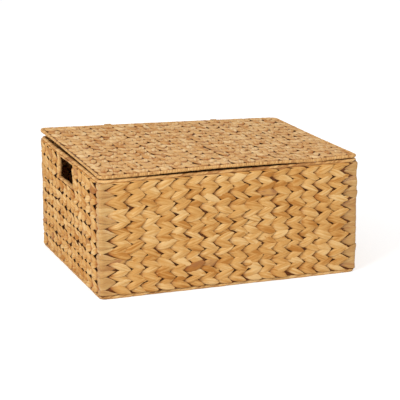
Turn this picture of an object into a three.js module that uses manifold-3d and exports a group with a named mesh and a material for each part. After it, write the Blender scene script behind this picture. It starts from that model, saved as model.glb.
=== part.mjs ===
// Woven lidded box: plant-stem strands twined on a welded wire frame, with bound edges,
// a hand hole high in each end and a flat lid tied to the back rim.
// Millimetres, +Z up. The origin is on the floor under the middle of the box; the front faces -Y.

import * as THREE from 'three';
import { mergeVertices } from 'three/addons/utils/BufferGeometryUtils.js';
import Module from 'manifold-3d';

// Driving dimensions
const BOX_WIDTH = 450; // over the woven walls, left to right
const BOX_DEPTH = 350; // over the woven walls, front to back
const BOX_HEIGHT = 202; // floor to the top of the closed lid
const WALL_THICKNESS = 9; // wall weave, crown to crown
const PANEL_THICKNESS = 5.6; // lid and base weave, crown to crown
const COURSE_HEIGHT = 10; // one woven course, before it is rounded to a whole count
const BINDING_DIAMETER = 6.4; // wrapped rim, base and lid edges, and hand-hole sills
const HOOP_WIRE = 3.6; // rim, base and lid hoops
const POST_WIRE = 3; // corner posts
const STAKE_WIRE = 2.2; // upright stakes, ribs and sill bars
const CORNER_RADIUS = 9; // hoop corners, on the wire's centreline
const STAKE_PITCH = 25; // stakes in the front and back walls
const SIDE_STAKE_PITCH = 22; // stakes in the left and right walls
const RIB_PITCH = 21; // ribs in the lid and base
const HANDLE_BAYS = 4; // stake spaces that a hand hole spans
const HANDLE_HEIGHT = 33; // hand hole, from its sill to the roll over it
const LINTEL_DIAMETER = 4.2; // roll of strand over a hand hole, under the rim
const HANDLE_OFFSET = 16; // middle of a hand hole, behind the middle of its wall
const TIE_WIDTH = 12; // one hinge tie, along the back rim
const TIE_THICKNESS = 0.7;
const TIE_BAY = 4; // stake space that a hinge tie is in, counted from the middle one
const LID_GAP = 1; // rim to closed lid
const SEAT_GAP = 0.3; // clearance between pieces that touch

// Facets
const CORNER_STEPS = 2;
const WALL_CROWN_STEPS = 4;
const PANEL_CROWN_STEPS = 2;
const WIRE_SIDES = 5;
const BINDING_SIDES = 8;
const TIE_STEPS = 5;

// Colours
const STRAND_COLOUR = 0xcf9a59;
const CORNER_COLOUR = 0xdcb27c;
const BINDING_COLOUR = 0xd2a364;
const TIE_COLOUR = 0xc08a4a;
const WIRE_COLOUR = 0x2c2a28;

// Levels and reaches that follow from the driving dimensions
const wirePlane = WALL_THICKNESS / 2; // inset of the hoops and stakes from the woven faces
const hoopHalfX = BOX_WIDTH / 2 - wirePlane;
const hoopHalfY = BOX_DEPTH / 2 - wirePlane;
const bindingRadius = BINDING_DIAMETER / 2;
const hoopBore = HOOP_WIRE + 2 * SEAT_GAP;
const stakeBore = STAKE_WIRE / 2 + SEAT_GAP;
const straightHalfX = hoopHalfX - CORNER_RADIUS;
const straightHalfY = hoopHalfY - CORNER_RADIUS;
const baseHoopZ = Math.max(BINDING_DIAMETER, PANEL_THICKNESS) / 2; // neither reaches below the floor
const lidHoopZ = BOX_HEIGHT - bindingRadius;
const rimHoopZ = lidHoopZ - BINDING_DIAMETER - LID_GAP;
const wallBottom = baseHoopZ + bindingRadius + SEAT_GAP;
const wallTop = rimHoopZ - bindingRadius - SEAT_GAP;
const wallHeight = wallTop - wallBottom;
const panelReach = bindingRadius + SEAT_GAP; // hoop centreline to the edge of the lid or base weave
const lintelZ = wallTop - LINTEL_DIAMETER / 2;
const sillTop = wallTop - LINTEL_DIAMETER - HANDLE_HEIGHT;
const sillZ = sillTop - bindingRadius;
const handleHalf = (HANDLE_BAYS * SIDE_STAKE_PITCH) / 2; // middle of a hand hole to its jamb stakes
const tieX = TIE_BAY * STAKE_PITCH;
const bindingEdge = bindingRadius / Math.cos(Math.PI / BINDING_SIDES); // middle to an edge of the octagon
const tieInner = bindingEdge + SEAT_GAP; // clears the lid's edge as it turns
const tieOuter = tieInner + TIE_THICKNESS;
const CUT_PAST = 5; // how far a cutting shape runs past what it cuts

const wasm = await Module();
wasm.setup();

// Joins and cuts

/** Turns a closed three.js geometry into a solid that can be joined and cut. */
function toSolid(geometry) {
  const bare = geometry.clone();
  bare.deleteAttribute('normal');
  bare.deleteAttribute('uv');
  const merged = mergeVertices(bare, 1e-4);
  return new wasm.Manifold(new wasm.Mesh({
    numProp: 3,
    vertProperties: new Float32Array(merged.attributes.position.array),
    triVerts: new Uint32Array(merged.index.array),
  }));
}

/** Turns a joined or cut solid back into a three.js geometry. */
function toGeometry(solid) {
  const mesh = solid.getMesh();
  const geometry = new THREE.BufferGeometry();
  geometry.setAttribute('position', new THREE.BufferAttribute(mesh.vertProperties, mesh.numProp));
  geometry.setIndex(new THREE.BufferAttribute(mesh.triVerts, 1));
  geometry.computeVertexNormals();
  return geometry;
}

const joined = (solids) => solids.reduce((sum, solid) => sum.add(solid));

// Basic forms

/** Turns a form so that its own X, Y and Z lie along Y, Z and X. */
const edgewise = new THREE.Matrix4().makeBasis(
  new THREE.Vector3(0, 1, 0),
  new THREE.Vector3(0, 0, 1),
  new THREE.Vector3(1, 0, 0),
);

/** A box given by its lowest and highest corners. */
function blockSolid(low, high) {
  const size = high.map((value, axis) => value - low[axis]);
  const block = new THREE.BoxGeometry(...size);
  block.translate(...low.map((value, axis) => value + size[axis] / 2));
  return toSolid(block);
}

/** A straight round bar of a given radius between two points. */
function barSolid(start, end, radius, sides = WIRE_SIDES) {
  const from = new THREE.Vector3(...start);
  const along = new THREE.Vector3(...end).sub(from);
  const bar = new THREE.CylinderGeometry(radius, radius, along.length(), sides);
  bar.rotateY(Math.PI / sides);
  bar.translate(0, along.length() / 2, 0);
  const turn = new THREE.Quaternion().setFromUnitVectors(
    new THREE.Vector3(0, 1, 0),
    along.clone().normalize(),
  );
  bar.applyQuaternion(turn);
  bar.translate(...start);
  return toSolid(bar);
}

/** Traces a rounded rectangle about the origin into a shape or a hole. */
function traceRoundedRectangle(path, halfX, halfY, radius) {
  path.moveTo(halfX, radius - halfY);
  path.absarc(halfX - radius, halfY - radius, radius, 0, Math.PI / 2);
  path.absarc(radius - halfX, halfY - radius, radius, Math.PI / 2, Math.PI);
  path.absarc(radius - halfX, radius - halfY, radius, Math.PI, 1.5 * Math.PI);
  path.absarc(halfX - radius, radius - halfY, radius, 1.5 * Math.PI, 2 * Math.PI);
  return path;
}

/** A rounded rectangle that follows the hoops' centreline, stepped outwards by an offset. */
function hoopOutline(path, offset) {
  return traceRoundedRectangle(path, hoopHalfX + offset, hoopHalfY + offset, CORNER_RADIUS + offset);
}

/** A ring along the hoops' centreline with an octagonal section, its middle at height z. */
function ringSolid(thickness, z) {
  const chamfer = thickness / (2 + Math.SQRT2);
  const shape = hoopOutline(new THREE.Shape(), thickness / 2);
  shape.holes.push(hoopOutline(new THREE.Path(), -thickness / 2));
  const ring = new THREE.ExtrudeGeometry(shape, {
    depth: thickness - 2 * chamfer,
    bevelThickness: chamfer,
    bevelSize: chamfer,
    bevelOffset: -chamfer,
    bevelSegments: 1,
    curveSegments: CORNER_STEPS,
  });
  ring.translate(0, 0, z - thickness / 2 + chamfer);
  return toSolid(ring);
}

/** A square-edged ring along the hoops' centreline, between two offsets and two heights. */
function slotSolid(innerOffset, outerOffset, lowZ, highZ) {
  const shape = hoopOutline(new THREE.Shape(), outerOffset);
  shape.holes.push(hoopOutline(new THREE.Path(), innerOffset));
  const options = { depth: highZ - lowZ, bevelEnabled: false, curveSegments: CORNER_STEPS };
  const slot = new THREE.ExtrudeGeometry(shape, options);
  slot.translate(0, 0, lowZ);
  return toSolid(slot);
}

// Places of the wires

/** Places spaced by a pitch on both sides of a middle, as far as a reach on either side of zero. */
function spacedPlaces(pitch, middle, reach) {
  const first = Math.ceil((-reach - middle) / pitch);
  const last = Math.floor((reach - middle) / pitch);
  return Array.from({ length: last - first + 1 }, (_, index) => middle + (first + index) * pitch);
}

const stakePlaces = spacedPlaces(STAKE_PITCH, STAKE_PITCH / 2, straightHalfX - STAKE_PITCH / 4);
const sideReach = straightHalfY - SIDE_STAKE_PITCH / 4;
const sideStakePlaces = spacedPlaces(SIDE_STAKE_PITCH, HANDLE_OFFSET, sideReach);
const ribPlaces = spacedPlaces(RIB_PITCH, RIB_PITCH / 2, straightHalfY - stakeBore);
const insideHandle = (place) => Math.abs(place - HANDLE_OFFSET) < handleHalf - SIDE_STAKE_PITCH / 2;

// Wire frames

/** Hoops, corner posts, stakes, base ribs and sill bars, welded into one cage. */
function boxWireFrame() {
  const stakeRadius = STAKE_WIRE / 2;
  const wires = [ringSolid(HOOP_WIRE, baseHoopZ), ringSolid(HOOP_WIRE, rimHoopZ)];
  const upright = (x, y, top, radius) => barSolid([x, y, baseHoopZ], [x, y, top], radius);
  const postX = straightHalfX + CORNER_RADIUS * Math.SQRT1_2;
  const postY = straightHalfY + CORNER_RADIUS * Math.SQRT1_2;
  for (const sideX of [-1, 1]) {
    for (const sideY of [-1, 1]) {
      wires.push(upright(sideX * postX, sideY * postY, rimHoopZ, POST_WIRE / 2));
    }
    for (const y of sideStakePlaces) {
      wires.push(upright(sideX * hoopHalfX, y, insideHandle(y) ? sillZ : rimHoopZ, stakeRadius));
    }
    const sillEnds = [HANDLE_OFFSET - handleHalf, HANDLE_OFFSET + handleHalf];
    wires.push(barSolid(...sillEnds.map((y) => [sideX * hoopHalfX, y, sillZ]), stakeRadius));
  }
  for (const sideY of [-1, 1]) {
    for (const x of stakePlaces) {
      wires.push(upright(x, sideY * hoopHalfY, rimHoopZ, stakeRadius));
    }
  }
  for (const y of ribPlaces) {
    wires.push(barSolid([-hoopHalfX, y, baseHoopZ], [hoopHalfX, y, baseHoopZ], stakeRadius));
  }
  return joined(wires);
}

/** The lid's hoop with its ribs welded across. */
function lidWireFrame() {
  const wires = [ringSolid(HOOP_WIRE, lidHoopZ)];
  for (const y of ribPlaces) {
    wires.push(barSolid([-hoopHalfX, y, lidHoopZ], [hoopHalfX, y, lidHoopZ], STAKE_WIRE / 2));
  }
  return joined(wires);
}

// Woven panels

/**
 * A slab of woven courses. Courses run along X, lie across Y and stack up Z from zero; both faces
 * rise to a crown on every course and fall to a groove between courses.
 */
function courseSlab(run, stack, thickness, crownSteps) {
  const courses = Math.round(stack / COURSE_HEIGHT);
  const height = stack / courses;
  const groove = (thickness / 2 - stakeBore) / 2; // half of the cover over the wires
  const valley = thickness / 2 - groove;
  const control = valley + 2 * groove; // lifts the middle of a quadratic curve to the crown
  const profile = new THREE.Shape();
  profile.moveTo(valley, 0);
  for (let course = 0; course < courses; course += 1) {
    profile.quadraticCurveTo(control, (course + 0.5) * height, valley, (course + 1) * height);
  }
  profile.lineTo(-valley, stack);
  for (let course = courses; course > 0; course -= 1) {
    profile.quadraticCurveTo(-control, (course - 0.5) * height, -valley, (course - 1) * height);
  }
  const options = { depth: run, bevelEnabled: false, curveSegments: crownSteps };
  const slab = new THREE.ExtrudeGeometry(profile, options);
  slab.applyMatrix4(edgewise);
  slab.translate(-run / 2, 0, 0);
  return toSolid(slab);
}

/** Bores for wires that run up a slab at given places along its courses. */
function stakeBores(places, bottom, top) {
  return joined(places.map((x) => barSolid([x, 0, bottom], [x, 0, top], stakeBore)));
}

/** A front or back wall in its own frame: courses along X, outside towards -Y, foot at Z = 0. */
function longWall() {
  const slab = courseSlab(2 * (straightHalfX - SEAT_GAP), wallHeight, WALL_THICKNESS, WALL_CROWN_STEPS);
  return slab.subtract(stakeBores(stakePlaces, -CUT_PAST, wallHeight + CUT_PAST));
}

/** The back wall: a long wall relieved along its top edge where the hinge ties pass. */
function backWall() {
  const depth = tieOuter - bindingRadius; // leaves a seat gap under the tie
  const halfWidth = TIE_WIDTH / 2 + SEAT_GAP;
  const reliefs = [-tieX, tieX].map((x) => blockSolid(
    [x - halfWidth, -WALL_THICKNESS, wallHeight - depth],
    [x + halfWidth, WALL_THICKNESS, wallHeight + CUT_PAST],
  ));
  return longWall().subtract(joined(reliefs));
}

/**
 * An end wall in its own frame: courses along X, which runs from the front of the box to its back.
 * It is open from the hand hole's sill up to the rim, and the strands turn back round the jamb stakes.
 */
function endWall() {
  const slab = courseSlab(2 * (straightHalfY - SEAT_GAP), wallHeight, WALL_THICKNESS, WALL_CROWN_STEPS);
  const floor = sillZ - bindingRadius - SEAT_GAP - wallBottom;
  const jambs = [HANDLE_OFFSET - handleHalf, HANDLE_OFFSET + handleHalf];
  const opening = blockSolid(
    [jambs[0], -WALL_THICKNESS, floor],
    [jambs[1], WALL_THICKNESS, wallHeight + CUT_PAST],
  );
  const turns = jambs.map((x) => barSolid([x, 0, floor], [x, 0, wallHeight], wirePlane, BINDING_SIDES));
  const sillBore = barSolid(...jambs.map((x) => [x, 0, sillZ - wallBottom]), stakeBore);
  return slab
    .subtract(opening)
    .add(joined(turns))
    .subtract(sillBore)
    .subtract(stakeBores(sideStakePlaces, -CUT_PAST, wallHeight + CUT_PAST));
}

/** The lid or base weave, centred on the origin: courses front to back, ribs left to right. */
function flatWeave() {
  const halfX = hoopHalfX - panelReach;
  const halfY = hoopHalfY - panelReach;
  const slab = courseSlab(2 * halfY, 2 * halfX, PANEL_THICKNESS, PANEL_CROWN_STEPS)
    .subtract(stakeBores(ribPlaces, -CUT_PAST, 2 * halfX + CUT_PAST))
    .translate([0, 0, -halfX]);
  const outline = traceRoundedRectangle(new THREE.Shape(), halfY, halfX, CORNER_RADIUS - panelReach);
  const options = { depth: 2 * PANEL_THICKNESS, bevelEnabled: false, curveSegments: CORNER_STEPS };
  const trim = new THREE.ExtrudeGeometry(outline, options);
  trim.translate(0, 0, -PANEL_THICKNESS);
  trim.rotateX(Math.PI / 2);
  return slab.intersect(toSolid(trim));
}

/** The lid weave with a space at its back edge for each hinge tie to stay clear as the lid turns. */
function lidWeave() {
  const halfWidth = TIE_WIDTH / 2 + SEAT_GAP;
  const halfDepth = hoopHalfY - tieOuter - SEAT_GAP;
  const spaces = [-tieX, tieX].map((x) => blockSolid(
    [halfDepth, -PANEL_THICKNESS, x - halfWidth],
    [halfDepth + CUT_PAST, PANEL_THICKNESS, x + halfWidth],
  ));
  return flatWeave().subtract(joined(spaces));
}

/** The strands' turn round one corner post, as a quarter ring with the post's bore in it. */
function cornerTurn() {
  const shape = new THREE.Shape();
  shape.absarc(0, 0, CORNER_RADIUS + wirePlane, 0, Math.PI / 2);
  shape.absarc(0, 0, CORNER_RADIUS - wirePlane, Math.PI / 2, 0, true);
  const bore = new THREE.Path();
  const postPlace = CORNER_RADIUS * Math.SQRT1_2;
  bore.absarc(postPlace, postPlace, POST_WIRE / 2 + SEAT_GAP, 0, 2 * Math.PI);
  shape.holes.push(bore);
  const options = { depth: wallHeight, bevelEnabled: false, curveSegments: 2 * CORNER_STEPS };
  return new THREE.ExtrudeGeometry(shape, options);
}

// Bound edges

/** A wrapped edge all the way round a hoop, opened by a slot where stakes or ribs leave it. */
function bindingRing(z, slot) {
  return ringSolid(BINDING_DIAMETER, z).subtract(ringSolid(hoopBore, z)).subtract(slot);
}

/** Parts a ring into four runs: front and back with their corners, left and right without. */
function bindingRuns(ring) {
  const farX = BOX_WIDTH;
  const farY = BOX_DEPTH;
  const near = straightHalfY + SEAT_GAP / 2;
  const side = straightHalfY - SEAT_GAP / 2;
  const low = -BOX_HEIGHT;
  const high = 2 * BOX_HEIGHT;
  return {
    front: ring.intersect(blockSolid([-farX, -farY, low], [farX, -near, high])),
    back: ring.intersect(blockSolid([-farX, near, low], [farX, farY, high])),
    left: ring.intersect(blockSolid([-farX, -side, low], [0, side, high])),
    right: ring.intersect(blockSolid([0, -side, low], [farX, side, high])),
  };
}

const slotHalf = hoopBore / 2;
const pastBinding = bindingRadius + SEAT_GAP;

/** The rim's slot faces down, to the stakes. */
const rimSlot = () => slotSolid(-slotHalf, slotHalf, rimHoopZ - pastBinding, rimHoopZ);

/** The base's slot takes the inner upper quarter, for stakes from above and ribs from inside. */
const baseSlot = () => slotSolid(-pastBinding, slotHalf, baseHoopZ - slotHalf, baseHoopZ + pastBinding);

/** The lid's slot faces inwards, to the ribs. */
const lidSlot = () => slotSolid(-pastBinding, 0, lidHoopZ - slotHalf, lidHoopZ + slotHalf);

const betweenJambs = handleHalf - wirePlane - SEAT_GAP; // half the run of a sill or lintel

/** The roll of strand over a hand hole, along Y about the origin. */
function lintelRoll() {
  return barSolid([0, -betweenJambs, 0], [0, betweenJambs, 0], LINTEL_DIAMETER / 2, BINDING_SIDES);
}

/** The wrapped sill of a hand hole, along Y about the origin, open below for the cut stakes. */
function sillBinding() {
  const far = betweenJambs + CUT_PAST;
  const sleeve = barSolid([0, -betweenJambs, 0], [0, betweenJambs, 0], bindingEdge, BINDING_SIDES);
  const bore = barSolid([0, -far, 0], [0, far, 0], stakeBore);
  const slot = blockSolid([-stakeBore, -far, -BINDING_DIAMETER], [stakeBore, far, 0]);
  return sleeve.subtract(bore).subtract(slot);
}

/** A hinge tie: a flat loop of strand round the back rim and the back edge of the lid. */
function hingeTie() {
  const reach = lidHoopZ - rimHoopZ;
  const loop = (path, radius) => {
    path.absarc(0, reach, radius, 0, Math.PI);
    path.absarc(0, 0, radius, Math.PI, 2 * Math.PI);
    return path;
  };
  const shape = loop(new THREE.Shape(), tieOuter);
  shape.holes.push(loop(new THREE.Path(), tieInner));
  const options = { depth: TIE_WIDTH, bevelEnabled: false, curveSegments: TIE_STEPS };
  const tie = new THREE.ExtrudeGeometry(shape, options);
  tie.translate(0, 0, -TIE_WIDTH / 2);
  return tie;
}

// Assembly

const finish = (color, roughness, metalness) => (
  new THREE.MeshStandardMaterial({ color, roughness, metalness })
);
const weaveFinish = (colour) => finish(colour, 0.75, 0);
const wireFinish = () => finish(WIRE_COLOUR, 0.5, 0.6);

/** Adds one named piece to a group and returns its mesh, to be placed. */
function addPiece(group, name, shape, material) {
  const geometry = shape.isBufferGeometry ? shape : toGeometry(shape);
  const mesh = new THREE.Mesh(geometry, material);
  mesh.name = name;
  group.add(mesh);
  return mesh;
}

/** Adds the four runs of a bound edge. */
function addBinding(group, name, z, slot) {
  const runs = bindingRuns(bindingRing(z, slot));
  for (const [side, run] of Object.entries(runs)) {
    addPiece(group, `${name}_${side}`, run, weaveFinish(BINDING_COLOUR));
  }
}

/** The box: frame, walls, corners, base, bound edges, hand-hole sills and lintels, hinge ties. */
function buildBox() {
  const box = new THREE.Group();
  addPiece(box, 'box_wire_frame', boxWireFrame(), wireFinish());

  const addWall = (name, solid, x, y, turn) => {
    const wall = addPiece(box, name, solid, weaveFinish(STRAND_COLOUR));
    wall.position.set(x, y, wallBottom);
    wall.rotation.z = turn;
  };
  addWall('front_wall', longWall(), 0, -hoopHalfY, 0);
  addWall('back_wall', backWall(), 0, hoopHalfY, 0);
  addWall('left_wall', endWall(), -hoopHalfX, 0, Math.PI / 2);
  addWall('right_wall', endWall(), hoopHalfX, 0, Math.PI / 2);

  const corners = [
    ['back_right', 1, 1],
    ['back_left', -1, 1],
    ['front_left', -1, -1],
    ['front_right', 1, -1],
  ];
  corners.forEach(([place, sideX, sideY], quarter) => {
    const corner = addPiece(box, `corner_wrap_${place}`, cornerTurn(), weaveFinish(CORNER_COLOUR));
    corner.position.set(sideX * straightHalfX, sideY * straightHalfY, wallBottom);
    corner.rotation.z = (quarter * Math.PI) / 2;
  });

  const base = addPiece(box, 'base_panel', flatWeave(), weaveFinish(STRAND_COLOUR));
  base.quaternion.setFromRotationMatrix(edgewise);
  base.position.z = baseHoopZ;

  addBinding(box, 'rim_binding', rimHoopZ, rimSlot());
  addBinding(box, 'base_binding', baseHoopZ, baseSlot());

  for (const [side, sign] of [['left', -1], ['right', 1]]) {
    const sill = addPiece(box, `handle_sill_${side}`, sillBinding(), weaveFinish(BINDING_COLOUR));
    sill.position.set(sign * hoopHalfX, HANDLE_OFFSET, sillZ);

    const lintel = addPiece(box, `handle_lintel_${side}`, lintelRoll(), weaveFinish(BINDING_COLOUR));
    lintel.position.set(sign * hoopHalfX, HANDLE_OFFSET, lintelZ);

    const tie = addPiece(box, `hinge_tie_${side}`, hingeTie(), weaveFinish(TIE_COLOUR));
    tie.quaternion.setFromRotationMatrix(edgewise);
    tie.position.set(sign * tieX, hoopHalfY, rimHoopZ);
  }
  return box;
}

/** The lid: frame, weave and bound edges. It turns about the back run of its own hoop. */
function buildLid() {
  const lid = new THREE.Group();
  addPiece(lid, 'lid_wire_frame', lidWireFrame(), wireFinish());
  const weave = addPiece(lid, 'lid_panel', lidWeave(), weaveFinish(STRAND_COLOUR));
  weave.quaternion.setFromRotationMatrix(edgewise);
  weave.position.z = lidHoopZ;
  addBinding(lid, 'lid_binding', lidHoopZ, lidSlot());
  return lid;
}

const wovenBox = new THREE.Group();
wovenBox.add(buildBox(), buildLid());

export default wovenBox;
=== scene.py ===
"""Looks of a woven lidded box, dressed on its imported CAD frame.

Flattened plant stems are twined round a welded wire cage. Each course twists the other way
from the one below it, so the faces show arrows. Edges are wound with strands, each end has a
hand hole under the rim, and the flat lid is tied to the back rim.
Metres, +Z up, the front faces -Y, as in the CAD frame.
"""

import logging
import math
from collections.abc import Sequence
from dataclasses import dataclass, field
from enum import Enum
from typing import Protocol

import bmesh
import bpy
import numpy as np
from numpy.typing import ArrayLike
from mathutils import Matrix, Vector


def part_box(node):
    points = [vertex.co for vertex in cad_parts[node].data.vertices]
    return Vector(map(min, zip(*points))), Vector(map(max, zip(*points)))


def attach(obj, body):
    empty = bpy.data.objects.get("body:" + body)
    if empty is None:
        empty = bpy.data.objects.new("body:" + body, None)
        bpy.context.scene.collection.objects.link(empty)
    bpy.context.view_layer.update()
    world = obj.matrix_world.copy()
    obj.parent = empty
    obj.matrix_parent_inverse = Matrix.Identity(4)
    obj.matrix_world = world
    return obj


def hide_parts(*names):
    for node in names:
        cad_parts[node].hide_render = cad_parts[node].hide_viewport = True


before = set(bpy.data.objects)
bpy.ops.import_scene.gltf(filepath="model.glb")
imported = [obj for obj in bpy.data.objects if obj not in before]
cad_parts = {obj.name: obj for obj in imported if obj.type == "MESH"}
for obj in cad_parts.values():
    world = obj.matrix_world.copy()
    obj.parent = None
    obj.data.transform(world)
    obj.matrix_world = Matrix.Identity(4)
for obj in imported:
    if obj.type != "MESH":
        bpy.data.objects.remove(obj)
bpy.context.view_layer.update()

LOG = logging.getLogger("woven_box")
MM = 0.001

# Spacing of the wires that the strands go round, as in the cage
STAKE_PITCH = 25 * MM
SIDE_STAKE_PITCH = 22 * MM
RIB_PITCH = 21 * MM
# The hoops' round corners, and the weave's sharper turn round a post
CORNER_RADIUS = 9 * MM
POST_RADIUS = 0.5 * MM
# A hand hole lies between two stakes, a little behind the middle of its wall
HANDLE_MIDDLE = 16 * MM
HANDLE_HALF = 4 * SIDE_STAKE_PITCH / 2
TIE_PLACE = 4 * STAKE_PITCH
# Step of the guides that strands are wound along
GUIDE_STEP = 1 * MM

# The walls in the order of the loop round them, and the two ends with their signs along X
SIDES = ("front", "right", "back", "left")
HANDS = (("left", -1), ("right", 1))


class Slant(Enum):
    """Which way a course's stitches lean, seen from the face they lie on."""

    RISING = 1
    FALLING = -1

    @classmethod
    def of_course(cls, number: int) -> "Slant":
        """Changes the slant from course to course."""
        return cls.RISING if number % 2 == 0 else cls.FALLING


class Side(Enum):
    """The face of a woven sheet that a stitch lies on."""

    OUTER = 1
    INNER = -1


class Body(Enum):
    """The moving bodies of the CAD frame."""

    BOX = "box"
    LID = "lid"


def middle_of(node: str) -> np.ndarray:
    """Gives the middle of a CAD node's box."""
    low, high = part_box(node)
    return (np.array(low) + np.array(high)) / 2


@dataclass(frozen=True)
class Cage:
    """Levels and reaches that the strands take from the CAD nodes."""

    half_x: float
    half_y: float
    wall_low: float
    wall_high: float
    rim_z: float
    base_z: float
    lid_z: float
    sill_z: float
    lintel_z: float
    lintel_radius: float
    binding_radius: float
    wall_half: float
    panel_half_x: float
    panel_half_y: float
    panel_half: float

    @classmethod
    def measured(cls) -> "Cage":
        """Reads the levels and reaches off the CAD nodes.

        Returns:
            The cage's sizes in metres.
        """
        wall_low, wall_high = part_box("front_wall")
        lid_low, lid_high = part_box("lid_panel")
        rim_low, rim_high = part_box("rim_binding_front")
        lintel_low, lintel_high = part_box("handle_lintel_left")
        return cls(
            half_x=abs(float(middle_of("left_wall")[0])),
            half_y=abs(float(middle_of("front_wall")[1])),
            wall_low=wall_low.z,
            wall_high=wall_high.z,
            rim_z=float(middle_of("rim_binding_front")[2]),
            base_z=float(middle_of("base_binding_front")[2]),
            lid_z=float(middle_of("lid_binding_front")[2]),
            sill_z=float(middle_of("handle_sill_left")[2]),
            lintel_z=float(middle_of("handle_lintel_left")[2]),
            lintel_radius=(lintel_high.z - lintel_low.z) / 2,
            binding_radius=(rim_high.z - rim_low.z) / 2,
            wall_half=(wall_high.y - wall_low.y) / 2,
            panel_half_x=lid_high.x,
            panel_half_y=lid_high.y,
            panel_half=(lid_high.z - lid_low.z) / 2,
        )


# Surfaces that strands are laid on


class Surface(Protocol):
    """A sheet with a direction along its courses, one across them and one outwards."""

    def place(self, along: np.ndarray, stack: np.ndarray, out: np.ndarray) -> np.ndarray:
        """Maps places on the sheet to points."""


@dataclass(frozen=True)
class WallLoop:
    """The box's walls as one sheet, followed round the hoop from the front left corner post.

    Seen from above the loop runs front, right, back and left, so it runs to the right when a
    wall is seen from outside.
    """

    half_x: float
    half_y: float
    radius: float = CORNER_RADIUS

    @property
    def half_turn(self) -> float:
        """Length of half a corner, from a straight to a post."""
        return self.radius * math.pi / 4

    @property
    def straights(self) -> np.ndarray:
        """Lengths of the four straights in the order of the loop."""
        halves = np.array([self.half_x, self.half_y, self.half_x, self.half_y])
        return 2 * (halves - self.radius)

    @property
    def starts(self) -> np.ndarray:
        """Distance round the loop to the post before each side, then the whole length."""
        return np.concatenate([[0.0], np.cumsum(self.straights + 2 * self.half_turn)])

    def on_side(self, side: int, offset: float) -> float:
        """Gives the distance round the loop to an offset past the middle of a side."""
        return float(self.starts[side] + self.half_turn + self.straights[side] / 2 + offset)

    def guide(self, along: np.ndarray) -> tuple[np.ndarray, np.ndarray]:
        """Follows the hoop's centreline.

        Args:
            along: distances round the loop.

        Returns:
            Points on the centreline at height zero, and the outward directions there.
        """
        starts = self.starts
        wrapped = np.mod(along, starts[-1])
        side = np.clip(np.searchsorted(starts, wrapped, side="right") - 1, 0, 3)
        straight = self.straights[side]
        past = wrapped - starts[side] - self.half_turn - straight / 2
        beyond = np.clip(np.abs(past) - straight / 2, 0, None) * np.sign(past)
        angle = beyond / self.radius
        forward = np.clip(past, -straight / 2, straight / 2) + self.radius * np.sin(angle)
        inset = self.radius * (1 - np.cos(angle))
        direction = side * math.pi / 2
        ahead = np.stack([np.cos(direction), np.sin(direction), np.zeros_like(forward)], -1)
        away = np.stack([np.sin(direction), -np.cos(direction), np.zeros_like(forward)], -1)
        reach = np.where(side % 2 == 0, self.half_y, self.half_x) - inset
        points = ahead * forward[..., None] + away * reach[..., None]
        normals = away * np.cos(angle)[..., None] + ahead * np.sin(angle)[..., None]
        return points, normals

    def place(self, along: np.ndarray, stack: np.ndarray, out: np.ndarray) -> np.ndarray:
        """Maps places on the walls to points.

        Args:
            along: distances round the loop.
            stack: heights above the floor.
            out: distances outwards from the wires.

        Returns:
            Points, with one more axis than the inputs.
        """
        points, normals = self.guide(along)
        points = points + normals * out[..., None]
        points[..., 2] = stack
        return points


@dataclass(frozen=True)
class FlatSheet:
    """The lid's or the base's sheet: courses run front to back and are stacked right to left."""

    z: float

    def place(self, along: np.ndarray, stack: np.ndarray, out: np.ndarray) -> np.ndarray:
        """Maps distances to the back, to the left and upwards from the wires to points."""
        return np.stack([-stack, along, self.z + out], -1)


# Meshes


def triples(first: ArrayLike, second: ArrayLike, third: ArrayLike) -> np.ndarray:
    """Joins three arrays, spread to one shape, along a new last axis."""
    return np.stack(np.broadcast_arrays(first, second, third), -1)


def linked(name: str, data: bpy.types.ID) -> bpy.types.Object:
    """Makes an object of a mesh, a lamp or a camera and puts it in the scene.

    Args:
        name: the object's name.
        data: its mesh, lamp or camera.

    Returns:
        The new object, at the origin.
    """
    thing = bpy.data.objects.new(name, data)
    bpy.context.scene.collection.objects.link(thing)
    return thing


def vertices_of(mesh: bpy.types.Mesh) -> np.ndarray:
    """Reads a mesh's vertices.

    Args:
        mesh: the mesh.

    Returns:
        One row for each vertex.
    """
    points = np.empty(len(mesh.vertices) * 3, dtype=np.float32)
    mesh.vertices.foreach_get("co", points)
    return points.reshape(-1, 3).astype(float)


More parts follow.
